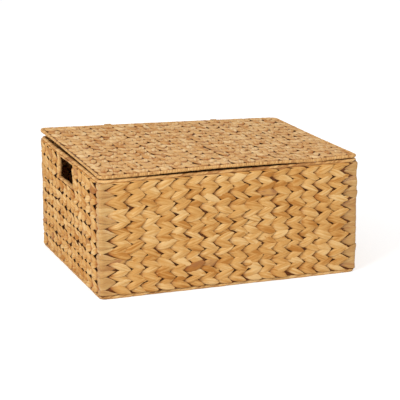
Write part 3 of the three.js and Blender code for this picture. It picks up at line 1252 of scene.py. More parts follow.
@dataclass
class WovenWalls:
    """The four walls and the strands' turns round the corner posts."""

    cage: Cage
    dresser: Dresser
    box_set: BoxSet
    courses: int = 18
    tail_reach: float = 0.82
    post_tail_reach: float = 0.67
    corner_tail_reach: float = 0.76
    thickness: float = 1.4 * MM
    past_edge: float = 2 * MM
    wander: float = 0.8 * MM
    rust_share: float = 0.03
    core_half: float = 1.0 * MM
    core_past: float = 2.5 * MM
    end_spread: float = 8 * MM
    jamb_reach: float = 2.5 * MM
    jamb_sink: float = 2.4 * MM
    sill_bite: float = 1.5 * MM
    blunt: float = 0.6
    seed: int = 7

    # The corners that the sides begin at
    CORNERS = ("front_left", "front_right", "back_right", "back_left")
    # Which way round the loop the tips point on each side: away from two of the corners
    WAYS = (1, -1, 1, -1)
    # How far the turns round the corner posts reach on the long and the short walls
    CORNER_REACHES = (26 * MM, 8 * MM)
    # How pointed the tails next to the corner posts are on the long and the short walls
    POST_POINTS = (1.7, 0.9)
    # A bay longer than this many pitches lies next to a post: on any wall, and on a long one
    POST_BAY = 1.01
    LONG_POST_BAY = 1.2

    def __post_init__(self) -> None:
        """Works out the loop and the course height, and starts the unevenness."""
        self.loop = WallLoop(self.cage.half_x, self.cage.half_y, POST_RADIUS)
        self.course = (self.cage.wall_high - self.cage.wall_low) / self.courses
        self.rng = np.random.default_rng(self.seed)

    def stitch(self, owner: int) -> WallStitch:
        """Chooses the kind of stitch for a side, or for a corner, whose number is below zero."""
        return CORNER if owner < 0 else (LONG_WALL, SHORT_WALL)[owner % 2]

    def twining(self, stitch: WallStitch) -> Twining:
        """Sets up stitches of one kind.

        Args:
            stitch: how they are laid.

        Returns:
            The twining.
        """
        return Twining(
            form=StitchForm(rings=stitch.rings),
            half_width=stitch.width * self.course,
            crown=self.cage.wall_half + stitch.proud,
            end_drop=stitch.end_drop,
            top_drop=stitch.top_drop,
            edge_drop=stitch.edge_drop,
            thickness=self.thickness,
            low=self.cage.wall_low - self.past_edge,
            high=self.cage.wall_high + self.past_edge,
            wander=self.wander,
            rust_share=self.rust_share,
            rng=self.rng,
            shade=stitch.shade,
            crowding=stitch.crowding,
            drift=stitch.drift,
            tail_lean=stitch.tail_lean,
        )

    def stations(self) -> tuple[np.ndarray, np.ndarray]:
        """Lists the posts and stakes round the loop.

        Returns:
            Distances round the loop, and for each the side's number, or -1 minus the corner's.
        """
        reach_x = self.cage.half_x - CORNER_RADIUS - STAKE_PITCH / 4
        reach_y = self.cage.half_y - CORNER_RADIUS - SIDE_STAKE_PITCH / 4
        front = spaced(STAKE_PITCH, STAKE_PITCH / 2, reach_x)
        right = spaced(SIDE_STAKE_PITCH, HANDLE_MIDDLE, reach_y)
        right[0] -= self.end_spread
        sides = (front, right, front, sorted(-place for place in right))
        places: list[float] = []
        owners: list[int] = []
        for side, offsets in enumerate(sides):
            places.append(float(self.loop.starts[side]))
            owners.append(-1 - side)
            places.extend(self.loop.on_side(side, offset) for offset in offsets)
            owners.extend([side] * len(offsets))
        return np.array(places), np.array(owners)

    def build(self) -> None:
        """Lays every course and dresses the walls and corners."""
        places, owners = self.stations()
        core = ShadeCore(self.core_half)
        for owner in sorted(set(owners.tolist())):
            buffer = MeshBuffer()
            twining = self.twining(self.stitch(owner))
            for along, stack in self.core_parts(owner):
                core.lay(buffer, self.loop, along, stack)
            for course in range(self.courses + 1):
                for face in Side:
                    batch = self.course_batch(places, owners, owner, course, face)
                    twining.lay(buffer, batch, self.loop, face)
            buffer.take(self.box_set)
            self.dress(buffer, owner)

    def core_parts(self, owner: int) -> list[tuple[tuple[float, float], tuple[float, float]]]:
        """Parts a wall's core round its hand hole. A corner has none.

        Args:
            owner: the side's number, or -1 minus the corner's.

        Returns:
            For each part, its ends round the loop and its lower and upper ends.
        """
        if owner < 0:
            return []
        cage = self.cage
        half = float(self.loop.straights[owner]) / 2
        ends = (self.loop.on_side(owner, -half), self.loop.on_side(owner, half))
        low = cage.wall_low - self.core_past
        high = cage.wall_high + self.core_past
        if owner % 2 == 0:
            return [(ends, (low, high))]
        middle = HANDLE_MIDDLE * (1 if owner == 1 else -1)
        jambs = [self.loop.on_side(owner, middle + reach) for reach in (-HANDLE_HALF, HANDLE_HALF)]
        beside = (cage.sill_z, high)
        return [
            (ends, (low, cage.sill_z)),
            ((ends[0], jambs[0]), beside),
            ((jambs[1], ends[1]), beside),
        ]

    def course_batch(
        self, places: np.ndarray, owners: np.ndarray, owner: int, course: int, face: Side
    ) -> StitchBatch:
        """Lists one course's stitches on one wall or corner post.

        Args:
            places: distances of all posts and stakes round the loop.
            owners: the side's number of each, or -1 minus the corner's.
            owner: whose stitches are wanted.
            course: number of the course, from the floor.
            face: the face of the wall.

        Returns:
            The stitches.
        """
        count = len(places)
        length = self.loop.starts[-1]
        before = np.mod(places - np.roll(places, 1), length)
        after = np.mod(np.roll(places, -1) - places, length)
        side_after = np.where(owners >= 0, owners, -1 - owners)
        side_before = np.where(owners >= 0, owners, (-2 - owners) % 4)
        if face is Side.INNER:
            before, after = after, before
            side_before, side_after = side_after, side_before
        ways = np.array(self.WAYS)
        slant = Slant.of_course(self.courses - 1 - course)
        batch = StitchBatch(
            along=places,
            stack=np.full(count, self.cage.wall_low + (course + 0.5) * self.course),
            slope=np.full(count, slant.value * self.stitch(owner).lean),
            sunk=np.zeros(count),
            top=np.full(count, self.cage.wall_high + self.past_edge),
            back=self.ends(before, ways[side_before] < 0, owners, side_before),
            ahead=self.ends(after, ways[side_after] > 0, owners, side_after),
        )
        laid = batch.chosen(self.cut_round_handle(batch, owners, face) & (owners == owner))
        laid.stack -= slant.value * face.value * self.pull(owner, course)
        return laid

    def pull(self, owner: int, course: int) -> float:
        """Tells how far a course is pulled towards its partner.

        The courses next to the base, the sills and the rim stay in place.

        Args:
            owner: the side's number, or -1 minus the corner's.
            course: number of the course, from the floor.

        Returns:
            The distance.
        """
        top = self.cage.wall_low + (course + 1) * self.course
        under_sill = abs(top - self.cage.sill_z) < self.course / 2
        if course == 0 or course >= self.courses - 1 or under_sill:
            return 0.0
        return self.stitch(owner).pull

    def ends(
        self, pitch: np.ndarray, tip: np.ndarray, owners: np.ndarray, sides: np.ndarray
    ) -> StitchEnds:
        """Works out the ends of stitches on one side of their wires.

        Args:
            pitch: distances to the next wires on that side.
            tip: whether that end is a tip.
            owners: side or corner numbers.
            sides: the sides that those ends lie on.

        Returns:
            The ends.
        """
        short = sides % 2 == 1
        corner = owners < 0
        usual = np.where(short, SIDE_STAKE_PITCH, STAKE_PITCH)
        kinds = [self.stitch(owner) for owner in owners]
        point = np.where(tip, [kind.tip_point for kind in kinds], [kind.tail_point for kind in kinds])
        point = np.where(tip & corner & short, self.blunt, point)
        by_post = ~corner & ~tip & (pitch > self.POST_BAY * usual)
        point = np.where(by_post, np.array(self.POST_POINTS)[sides % 2], point)
        tail = np.where(pitch > self.LONG_POST_BAY * STAKE_PITCH, self.post_tail_reach, self.tail_reach)
        tail = np.where(corner, self.corner_tail_reach, tail)
        tail = np.where(short, self.tail_reach, tail)
        reach = pitch * np.where(tip, [kind.tip_reach for kind in kinds], tail)
        reach = np.where(tip & corner, np.array(self.CORNER_REACHES)[sides % 2], reach)
        return StitchEnds(reach, tip, point)

    def cut_round_handle(self, batch: StitchBatch, owners: np.ndarray, face: Side) -> np.ndarray:
        """Fits the stitches of one course round the hand holes.

        Those in a hole are left out, those under a sill stop at it, and those at a jamb are cut
        short and sunk.

        Args:
            batch: the course's stitches on all walls.
            owners: side or corner numbers.
            face: the face of the wall.

        Returns:
            Which stitches are laid.
        """
        keep = np.ones(len(batch), dtype=bool)
        under = batch.stack < self.cage.sill_z
        half_bay = SIDE_STAKE_PITCH / 2
        for side, middle in ((1, HANDLE_MIDDLE), (3, -HANDLE_MIDDLE)):
            past = batch.along - self.loop.on_side(side, middle)
            near = (owners == side) & (np.abs(past) < HANDLE_HALF + half_bay)
            inside = near & (np.abs(past) < HANDLE_HALF - half_bay)
            batch.top = np.where(near & under, self.cage.sill_z - self.sill_bite, batch.top)
            keep &= under | ~inside
            jamb = near & ~inside & ~under
            batch.sunk = np.where(jamb, self.jamb_sink, batch.sunk)
            facing = past * face.value < 0
            for ends, cut in ((batch.ahead, jamb & facing), (batch.back, jamb & ~facing)):
                ends.reach = np.where(cut, self.jamb_reach, ends.reach)
                ends.point = np.where(cut, self.blunt, ends.point)
        return keep

    def dress(self, buffer: MeshBuffer, owner: int) -> None:
        """Makes and dresses one wall or corner.

        Args:
            buffer: its stitches.
            owner: the side's number, or -1 minus the corner's.
        """
        if owner < 0:
            name = self.CORNERS[-1 - owner]
            piece = buffer.to_object(f"corner_weave_{name}")
            self.dresser.dress(piece, "corner_strand", Body.BOX, [f"corner_wrap_{name}"])
        else:
            name = SIDES[owner]
            piece = buffer.to_object(f"{name}_weave")
            self.dresser.dress(piece, "strand", Body.BOX, [f"{name}_wall"])


@dataclass
class WovenPanel:
    """The lid's or the base's sheet of courses, front to back, on both faces."""

    cage: Cage
    dresser: Dresser
    name: str
    node: str
    slot: str
    body: Body
    z: float
    bend: Bend
    seed: int
    courses: int = 43
    width: float = 0.68
    lean: float = 0.30
    tip_reach: float = 0.62
    tail_reach: float = 0.82
    pull: float = 0.6 * MM
    tip_point: float = 1.8
    tail_point: float = 1.3
    past_side: float = 3 * MM
    past_end: float = 2.5 * MM
    core_half: float = 0.8 * MM
    core_past: float = 2.5 * MM

    def __post_init__(self) -> None:
        """Works out the width of a course and the places of the ribs."""
        self.course = 2 * self.cage.panel_half_x / self.courses
        reach = self.cage.half_y - CORNER_RADIUS - RIB_PITCH / 8
        self.ribs = np.array(spaced(RIB_PITCH, RIB_PITCH / 2, reach))

    def twining(self) -> Twining:
        """Sets up the stitches.

        Returns:
            The twining.
        """
        reach = self.cage.panel_half_x + self.past_side
        return Twining(
            form=StitchForm(),
            half_width=self.width * self.course,
            crown=self.cage.panel_half,
            end_drop=3.0 * MM,
            top_drop=0.9 * MM,
            edge_drop=0.8 * MM,
            thickness=1.0 * MM,
            low=-reach,
            high=reach,
            wander=0.6 * MM,
            rust_share=0.005,
            rng=np.random.default_rng(self.seed),
            shade=1.5,
        )

    def course_batch(self, number: int, side: Side) -> StitchBatch:
        """Lists one course's stitches on one face.

        Args:
            number: the course's number, from the right.
            side: the face of the panel.

        Returns:
            The stitches.
        """
        count = len(self.ribs)
        slant = Slant.of_course(number)
        middle = -self.cage.panel_half_x + (number + 0.5) * self.course
        middle -= slant.value * side.value * self.pull
        edge = self.cage.panel_half_y + self.past_end
        back = np.minimum(RIB_PITCH * self.tail_reach, edge + side.value * self.ribs)
        ahead = np.minimum(RIB_PITCH * self.tip_reach, edge - side.value * self.ribs)
        return StitchBatch(
            along=self.ribs,
            stack=np.full(count, middle),
            slope=np.full(count, slant.value * self.lean),
            sunk=np.zeros(count),
            top=np.full(count, self.cage.panel_half_x + self.past_side),
            back=StitchEnds(back, np.zeros(count, dtype=bool), np.full(count, self.tail_point)),
            ahead=StitchEnds(ahead, np.ones(count, dtype=bool), np.full(count, self.tip_point)),
        )

    def build(self) -> None:
        """Lays the courses and dresses the panel."""
        cage = self.cage
        twining = self.twining()
        surface = FlatSheet(self.z)
        buffer = MeshBuffer()
        lengths = (-cage.panel_half_y, cage.panel_half_y)
        widths = (-cage.panel_half_x - self.core_past, cage.panel_half_x + self.core_past)
        ShadeCore(self.core_half).lay(buffer, surface, lengths, widths)
        for number in range(self.courses):
            for side in Side:
                twining.lay(buffer, self.course_batch(number, side), surface, side)
        buffer.take(self.bend)
        self.dresser.dress(buffer.to_object(self.name), self.slot, self.body, [self.node])


@dataclass(frozen=True)
class Winding:
    """A strand wound side by side round a wire: turn width, lean of the turns and section."""

    turn: float
    spread: float
    lean: float
    radius: float
    fibre_turn: float
    groove: float = 0.18
    groove_shade: float = 0.8
    lumps: float = 0.05
    sides: int = 12
    flatness: float = 1.0
    toning: float = 1.0
    rust_share: float = 0.03
    narrowest: float = 0.4
    widest: float = 1.8

    # Sections of one turn: share of its width, and depth into the groove beside it
    PROFILE = ((0.0, 1.0), (0.10, 0.45), (0.3, 0.1), (0.5, 0.0), (0.7, 0.06), (0.90, 0.4))
    # A turn's own number, from its tone
    NUMBER = 20
    NUMBER_STEP = 7

    def wind(
        self,
        buffer: MeshBuffer,
        origin: np.ndarray,
        side: np.ndarray,
        rise: np.ndarray,
        lengths: np.ndarray,
        rng: np.random.Generator,
        swell: np.ndarray | None = None,
    ) -> None:
        """Sweeps the wound section along a guide, with closed ends.

        Args:
            buffer: the piece that the winding goes into.
            origin: points along the guide.
            side: unit directions across the guide.
            rise: unit directions across the guide and the side.
            lengths: distances along the guide.
            rng: the unevenness.
            swell: how many times thicker than plain the winding is along the guide.
        """
        total = float(lengths[-1])
        place, groove, tone, shade, rust = self.sections(total, rng).T[..., None]
        angle = np.linspace(0, 2 * math.pi, self.sides, endpoint=False)
        ease = np.clip(np.minimum(place, total - place) / (2 * self.lean + MM), 0, 1)
        leaning = np.clip(place + self.lean * ease * np.sin(angle), 0, total)
        girth = 1.0 if swell is None else np.interp(place, lengths, swell)
        radius = self.radius * (girth * (1 - groove))
        outward = sample(leaning, lengths, side) * self.flatness * np.cos(angle)[:, None]
        upward = sample(leaning, lengths, rise) * np.sin(angle)[:, None]
        points = sample(leaning, lengths, origin) + (outward + upward) * radius[..., None]
        around = angle * self.radius
        cosine, sine = math.cos(self.fibre_turn), math.sin(self.fibre_turn)
        buffer.add(
            points,
            *tube_faces(len(place), self.sides),
            triples(
                leaning * cosine + around * sine,
                around * cosine - leaning * sine,
                tone * self.NUMBER_STEP + self.NUMBER,
            ),
            triples(tone, shade, rust + 0 * leaning),
        )

    def sections(self, total: float, rng: np.random.Generator) -> np.ndarray:
        """Lists the sections of all the turns along a length.

        Args:
            total: the length to be wound.
            rng: the unevenness.

        Returns:
            For each section its place, how far it lies in the groove, its tone, shade and rust.
        """
        ends = self.turn_ends(total, rng)
        rows: list[tuple[float, ...]] = []
        for start, end in zip(ends[:-1], ends[1:]):
            tone = rng.normal(0, self.toning)
            bulk = rng.normal(0, self.lumps)
            rust = float(rng.uniform() < self.rust_share)
            for share, depth in self.PROFILE:
                place = start + share * (end - start)
                rows.append((place, depth * self.groove + bulk, tone, self.groove_shade * depth, rust))
        rows.append((total, *rows[-1][1:]))
        return np.array(rows)

    def turn_ends(self, total: float, rng: np.random.Generator) -> np.ndarray:
        """Parts a length into turns of uneven width.

        Args:
            total: the length to be wound.
            rng: the unevenness.

        Returns:
            Where turns begin and end.
        """
        count = max(2, round(total / self.turn))
        widths = np.clip(rng.normal(1, self.spread, count), self.narrowest, self.widest)
        return np.concatenate([[0.0], np.cumsum(widths) / widths.sum() * total])


def sample(at: np.ndarray, lengths: np.ndarray, values: np.ndarray) -> np.ndarray:
    """Reads vectors at distances along a guide that is known at some lengths."""
    return np.stack([np.interp(at, lengths, values[:, axis]) for axis in range(3)], -1)


def tube_faces(stations: int, sides: int) -> tuple[np.ndarray, np.ndarray]:
    """Lists the faces of a tube with closed ends.

    Args:
        stations: rings of vertices along the tube.
        sides: vertices in a ring.

    Returns:
        Face corners in a row, and the number of corners of each face.
    """
    ring = np.arange(sides)
    following = (ring + 1) % sides
    base = (np.arange(stations - 1) * sides)[:, None]
    quads = np.stack(
        [base + ring, base + ring + sides, base + following + sides, base + following],
        -1,
    )
    start = ring
    end = ((stations - 1) * sides + ring)[::-1]
    corners = np.concatenate([quads.ravel(), start, end])
    counts = np.concatenate([np.full((stations - 1) * sides, 4), [sides, sides]])
    return corners, counts


@dataclass
class BoundEdge:
    """A wound edge all round a hoop, in the four runs of the CAD nodes."""

    cage: Cage
    dresser: Dresser
    prefix: str
    body: Body
    z: float
    winding: Winding
    bend: Bend
    seed: int
    overhang: float = 0.0

    def build(self) -> None:
        """Winds and dresses the four runs. The long ones go round the corners."""
        loop = WallLoop(self.cage.half_x, self.cage.half_y)
        rng = np.random.default_rng(self.seed)
        for side, name in enumerate(SIDES):
            corner = 2 * loop.half_turn if side % 2 == 0 else 0.0
            start = loop.starts[side] + loop.half_turn
            end = start + loop.straights[side]
            buffer = MeshBuffer()
            self.wind_run(buffer, loop, start - corner, end + corner, rng)
            buffer.take(self.bend)
            piece = buffer.to_object(f"{self.prefix}_winding_{name}")
            self.dresser.dress(piece, "binding", self.body, [f"{self.prefix}_binding_{name}"])

    def wind_run(
        self, buffer: MeshBuffer, loop: WallLoop, start: float, end: float, rng: np.random.Generator
    ) -> None:
        """Winds one run.

        Args:
            buffer: the piece.
            loop: the hoop's path.
            start: where the run begins on the loop.
            end: where it ends.
            rng: the unevenness.
        """
        count = len(np.arange(start, end + GUIDE_STEP / 2, GUIDE_STEP))
        along = np.linspace(start, end, count)
        points, normals = loop.guide(along)
        points = points + normals * self.overhang
        points[:, 2] = self.z
        rise = np.zeros_like(points)
        rise[:, 2] = 1
        swell = self.bend.swell(points) if isinstance(self.bend, LidCurl) else None
        self.winding.wind(buffer, points, normals, rise, along - start, rng, swell)


@dataclass
class HandHoles:
    """The wound frames of the hand holes: sills with the turns round the jambs, and rolls on top."""

    cage: Cage
    dresser: Dresser
    box_set: BoxSet
    jamb_radius: float = 3.0 * MM
    lintel_share: float = 0.8
    lintel_bite: float = 1.0 * MM
    seed: int = 31

    START = HANDLE_MIDDLE - HANDLE_HALF
    END = HANDLE_MIDDLE + HANDLE_HALF
    ALONG = (0, 1, 0)
    UP = (0, 0, 1)

    def build(self) -> None:
        """Winds and dresses both hand holes."""
        rng = np.random.default_rng(self.seed)
        for name, sign in HANDS:
            self.build_sill(name, sign * self.cage.half_x, rng)
            self.build_lintel(name, sign * self.cage.half_x, rng)

    def build_sill(self, name: str, x: float, rng: np.random.Generator) -> None:
        """Winds one sill and its two jambs.

        Args:
            name: left or right.
            x: the wall's place along X.
            rng: the unevenness.
        """
        cage = self.cage
        sill = Winding(
            turn=26 * MM,
            spread=0.15,
            lean=5 * MM,
            radius=cage.binding_radius,
            fibre_turn=0.5,
            flatness=1.6,
        )
        jamb = Winding(
            turn=10 * MM,
            spread=0.1,
            lean=1.5 * MM,
            radius=self.jamb_radius,
            fibre_turn=1.4,
            groove=0.1,
        )
        foot = cage.sill_z - cage.binding_radius
        buffer = MeshBuffer()
        length = self.END - self.START
        self.wind_bar(buffer, sill, (x, self.START, cage.sill_z), self.ALONG, length, rng)
        for y in (self.START, self.END):
            self.wind_bar(buffer, jamb, (x, y, foot), self.UP, cage.wall_high - foot, rng)
        self.dress(buffer, f"hand_hole_{name}", f"handle_sill_{name}")

    def build_lintel(self, name: str, x: float, rng: np.random.Generator) -> None:
        """Winds the roll over one hand hole, pressed into the rim.

        Args:
            name: left or right.
            x: the wall's place along X.
            rng: the unevenness.
        """
        cage = self.cage
        roll = Winding(
            turn=24 * MM,
            spread=0.15,
            lean=4 * MM,
            radius=self.lintel_share * cage.lintel_radius,
            fibre_turn=0.5,
            flatness=2.5,
        )
        top = cage.lintel_z + cage.lintel_radius + self.lintel_bite
        buffer = MeshBuffer()
        place = (x, self.START, top - roll.radius)
        self.wind_bar(buffer, roll, place, self.ALONG, self.END - self.START, rng)
        self.dress(buffer, f"hand_hole_top_{name}", f"handle_lintel_{name}")

    def wind_bar(
        self,
        buffer: MeshBuffer,
        winding: Winding,
        start: Sequence[float],
        direction: Sequence[float],
        length: float,
        rng: np.random.Generator,
    ) -> None:
        """Winds a straight bar.

        Args:
            buffer: the piece.
            winding: the strand and section.
            start: where the bar begins.
            direction: unit direction of the bar.
            length: the bar's length.
            rng: the unevenness.
        """
        steps = np.linspace(0, length, max(2, int(length / GUIDE_STEP)))
        ahead = np.array(direction, dtype=float)
        side = np.array([1.0, 0.0, 0.0])
        rise = np.cross(side, ahead)
        origin = np.array(start) + steps[:, None] * ahead
        ones = np.ones((len(steps), 1))
        winding.wind(buffer, origin, side * ones, rise * ones, steps, rng)

    def dress(self, buffer: MeshBuffer, name: str, node: str) -> None:
        """Bends and dresses one piece of a hand hole."""
        buffer.take(self.box_set)
        self.dresser.dress(buffer.to_object(name), "binding", Body.BOX, [node])


@dataclass
class HingeTies:
    """Two slack flat lashings that hold the lid's back edge to the rim."""

    cage: Cage
    dresser: Dresser
    curl: LidCurl
    strips: int = 3
    strip_width: float = 3.8 * MM
    thickness: float = 0.6 * MM
    slack: float = 0.3 * MM
    squareness: float = 4
    steps: int = 48
    number_step: float = 3.0
    tone_step: float = 0.5
    edge_shade: float = 0.5

    # Outline of a strip: share of half its width, and of its thickness
    SECTION = ((-1.0, 0.0), (-0.7, 1.0), (0.0, 1.3), (0.7, 1.0), (1.0, 0.0), (0.0, -0.2))

    def build(self) -> None:
        """Makes and dresses both ties."""
        for name, sign in HANDS:
            buffer = MeshBuffer()
            for strip in range(self.strips):
                shift = (strip - (self.strips - 1) / 2) * self.strip_width
                self.add_loop(buffer, sign * TIE_PLACE + shift, strip)
            piece = buffer.to_object(f"lashing_{name}")
            self.dresser.dress(piece, "tie", Body.BOX, [f"hinge_tie_{name}"])

    def level(self, bend: Bend, x: float, z: float) -> float:
        """Gives the height that a place on the back edge has after a bend."""
        return float(bend.bent(np.array([[x, self.cage.half_y, z]]))[0, 2])

    def guide(self, x: float) -> tuple[np.ndarray, np.ndarray]:
        """Follows one turn round the rim and the lid's edge.

        Args:
            x: the turn's place along the back.

        Returns:
            Points along the turn, and the directions away from what it holds.
        """
        cage = self.cage
        rim = self.level(self.curl.box_set, x, cage.rim_z)
        edge = self.level(self.curl, x, cage.lid_z)
        lift = edge - rim - (cage.lid_z - cage.rim_z)
        half_gap = (edge - rim) / 2
        angle = np.linspace(0, 2 * math.pi, self.steps, endpoint=False)
        away = np.stack([np.zeros_like(angle), np.cos(angle), np.sin(angle)], -1)
        points = away * (cage.binding_radius + self.slack)
        points[:, 0] = x
        points[:, 1] += cage.half_y + lift / 2 * (1 + np.cos(angle))
        points[:, 2] += rim + half_gap + half_gap * np.tanh(self.squareness * np.sin(angle))
        return points, away

    def add_loop(self, buffer: MeshBuffer, x: float, number: int) -> None:
        """Adds one turn of a lashing.

        Args:
            buffer: the piece.
            x: the turn's place along the back.
            number: the turn's number, for its tone.
        """
        guide, away = self.guide(x)
        section = np.array(self.SECTION)
        across = section[:, 0] * self.strip_width / 2
        points = np.repeat(guide[:, None, :], len(section), 1)
        points[..., 0] += across
        points += away[:, None, :] * (section[:, 1] * self.thickness)[:, None]
        ring = np.arange(len(section))
        following = np.roll(ring, -1)
        base = (np.arange(self.steps) * len(section))[:, None]
        after = np.roll(base, -1, 0)
        quads = np.stack([base + ring, after + ring, after + following, base + following], -1)
        lengths = np.arange(self.steps)[:, None] * GUIDE_STEP
        depth = self.edge_shade * np.abs(section[:, 0])
        buffer.add(
            points,
            quads,
            np.full(self.steps * len(section), 4),
            triples(lengths, across, self.number_step * number),
            triples(self.tone_step * (number - 1), depth, 0 * lengths),
        )


@dataclass
class WireFrames:
    """The welded wires of the box and the lid, bent with the weave."""

    dresser: Dresser
    curl: LidCurl
    length: float = 30 * MM

    def build(self) -> None:
        """Makes both bent frames."""
        self.bend_frame("box_wires", "box_wire_frame", Body.BOX, self.curl.box_set)
        self.bend_frame("lid_wires", "lid_wire_frame", Body.LID, self.curl)

    def bend_frame(self, name: str, node: str, body: Body, bend: Bend) -> None:
        """Makes and dresses a bent copy of a CAD frame.

        Args:
            name: the copy's name.
            node: the CAD node.
            body: the body that it moves with.
            bend: the bend that it takes.
        """
        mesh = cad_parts[node].data.copy()
        mesh.name = name
        self.cut_often(mesh)
        bent = bend.bent(vertices_of(mesh))
        mesh.vertices.foreach_set("co", bent.astype(np.float32).ravel())
        mesh.update()
        self.dresser.dress(linked(name, mesh), "wire", body, [node])

    def cut_often(self, mesh: bpy.types.Mesh) -> None:
        """Cuts long wires into short lengths, so that they can bend.

        Args:
            mesh: the wires.
        """
        shape = bmesh.new()
        shape.from_mesh(mesh)
        size = (self.curl.box_set.half_x, self.curl.box_set.half_y)
        for axis, half in enumerate(size):
            across = np.eye(3)[axis]
            for place in np.arange(-half, half, self.length):
                whole = [*shape.verts, *shape.edges, *shape.faces]
                bmesh.ops.bisect_plane(shape, geom=whole, plane_co=place * across, plane_no=across)
        shape.to_mesh(mesh)
        shape.free()


# Studio


@dataclass(frozen=True)
class SoftBox:
    """A square soft lamp: where it stands, its edge and its power in watts."""

    name: str
    place: tuple[float, float, float]
    size: float
    power: float


@dataclass
class Studio:
    """A white sweep, soft light and a camera at the photograph's angle."""

    azimuth: float = math.radians(-20.55)
    elevation: float = math.radians(14.50)
    distance: float = 2.729
    focal_pixels: float = 1591
    frame_pixels: int = 400
    target: tuple[float, float, float] = (0.0097, 0.0, 0.1015)
    sensor: float = 36.0
    farthest: float = 30
    floor_size: float = 14
    floor_colour: Colour = (0.8, 0.8, 0.8, 1)
    floor_roughness: float = 0.9
    floor_gloss: float = 0.1
    sweep_glow: float = 0.5
    ambient: float = 0.58

    LAMPS = (
        SoftBox("key", (-2.6, -1.5, 1.8), size=1.6, power=72),
        SoftBox("fill", (1.6, -2.6, 1.4), size=2.2, power=22),
    )

    def build(self) -> None:
        """Makes the floor, the lights, the world and the camera."""
        bpy.context.scene.view_settings.view_transform = "Standard"
        self.build_floor()
        self.build_world()
        for lamp in self.LAMPS:
            self.build_lamp(lamp)
        self.build_camera()

    def build_floor(self) -> None:
        """Makes the pale floor, which keeps the box's shadow."""
        bpy.ops.object.select_all(action="DESELECT")
        bpy.ops.mesh.primitive_plane_add(size=self.floor_size)
        floor = bpy.context.object
        floor.name = "floor"
        material, sheet, shader = new_material("white_sweep")
        shader.inputs["Base Color"].default_value = self.floor_colour
        shader.inputs["Roughness"].default_value = self.floor_roughness
        shader.inputs["Specular IOR Level"].default_value = self.floor_gloss
        shader.inputs["Emission Color"].default_value = WHITE
        path = sheet.add("ShaderNodeLightPath")
        seen = sheet.math("MULTIPLY", path.outputs["Is Camera Ray"], self.sweep_glow)
        sheet.join(seen, shader.inputs["Emission Strength"])
        floor.data.materials.append(material)

    def build_world(self) -> None:
        """Lights the scene evenly, with plain white where the camera looks past the floor."""
        world = bpy.data.worlds.new("studio")
        bpy.context.scene.world = world
        world.use_nodes = True
        sheet = NodeSheet(world.node_tree)
        light = world.node_tree.nodes["Background"]
        white = sheet.add("ShaderNodeBackground")
        for background, strength in ((light, self.ambient), (white, 1)):
            background.inputs["Color"].default_value = WHITE
            background.inputs["Strength"].default_value = strength
        path = sheet.add("ShaderNodeLightPath")
        seen = sheet.math("MAXIMUM", path.outputs["Is Camera Ray"], path.outputs["Is Glossy Ray"])
        seen = sheet.math("MAXIMUM", seen, path.outputs["Is Transmission Ray"])
        mixed = sheet.add("ShaderNodeMixShader")
        sheet.feed(mixed.inputs, (seen, light.outputs[0], white.outputs[0]))
        sheet.join(mixed.outputs[0], world.node_tree.nodes["World Output"].inputs["Surface"])

    def build_lamp(self, lamp: SoftBox) -> None:
        """Adds one soft box aimed at the middle of the object.

        Args:
            lamp: the soft box.
        """
        data = bpy.data.lights.new(lamp.name, "AREA")
        data.size = lamp.size
        data.energy = lamp.power
        stand = linked(lamp.name, data)
        stand.location = lamp.place
        stand.rotation_euler = aim(np.array(lamp.place), np.array(self.target))

    def build_camera(self) -> None:
        """Sets the camera at the photograph's angle."""
        data = bpy.data.cameras.new("view")
        data.sensor_width = self.sensor
        data.sensor_fit = "HORIZONTAL"
        data.lens = self.focal_pixels / self.frame_pixels * self.sensor
        data.clip_end = self.farthest
        flat = math.cos(self.elevation)
        back = np.array(
            [math.sin(self.azimuth) * flat, -math.cos(self.azimuth) * flat, math.sin(self.elevation)]
        )
        place = np.array(self.target) + back * self.distance
        camera = linked("view", data)
        camera.location = place
        camera.rotation_euler = aim(place, np.array(self.target))
        bpy.context.scene.camera = camera


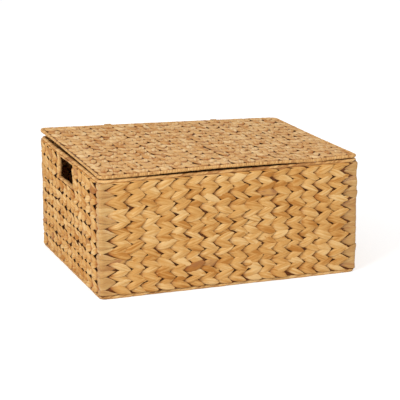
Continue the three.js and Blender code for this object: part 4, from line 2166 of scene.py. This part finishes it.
def aim(place: np.ndarray, target: np.ndarray) -> tuple[float, float, float]:
    """Gives the angles that turn a camera or lamp to a point, with its top upwards."""
    x, y, z = target - place
    return (math.atan2(math.hypot(x, y), -z), 0.0, math.atan2(-x, y))


# Height of the base's weave over the base hoop, and how far the lid's edge stands out
BASE_RISE = 0.7 * MM
LID_OVERHANG = 0.3 * MM


def edge_windings(radius: float) -> tuple[Winding, Winding]:
    """Sets up the windings of the box's and the lid's edges.

    Args:
        radius: the radius of a wound edge.

    Returns:
        The wide winding of the rim and the base, and the narrow one of the lid.
    """
    wide = Winding(
        turn=27 * MM,
        spread=0.18,
        lean=6 * MM,
        radius=radius,
        fibre_turn=0.6,
        flatness=1.15,
    )
    narrow = Winding(
        turn=3.6 * MM,
        spread=0.25,
        lean=1 * MM,
        radius=radius,
        fibre_turn=1.45,
        groove=0.1,
        toning=0.45,
    )
    return wide, narrow


def main() -> None:
    """Builds every piece in order."""
    logging.basicConfig(level=logging.INFO, format="%(name)s %(message)s")
    cage = Cage.measured()
    dresser = Dresser(Palette())
    box_set = BoxSet(cage.half_x, cage.half_y, cage.rim_z)
    curl = LidCurl(box_set)
    WovenWalls(cage, dresser, box_set).build()
    base_z = cage.base_z + BASE_RISE
    WovenPanel(
        cage, dresser, "base_weave", "base_panel", "strand", Body.BOX, base_z, box_set, seed=11
    ).build()
    WovenPanel(
        cage, dresser, "lid_weave", "lid_panel", "lid_strand", Body.LID, cage.lid_z, curl, seed=12
    ).build()
    wide, narrow = edge_windings(cage.binding_radius)
    BoundEdge(cage, dresser, "rim", Body.BOX, cage.rim_z, wide, box_set, seed=21).build()
    BoundEdge(cage, dresser, "base", Body.BOX, cage.base_z, wide, box_set, seed=22).build()
    BoundEdge(
        cage, dresser, "lid", Body.LID, cage.lid_z, narrow, curl, seed=23, overhang=LID_OVERHANG
    ).build()
    HandHoles(cage, dresser, box_set).build()
    HingeTies(cage, dresser, curl).build()
    WireFrames(dresser, curl).build()
    Studio().build()


if __name__ == "__main__":
    main()
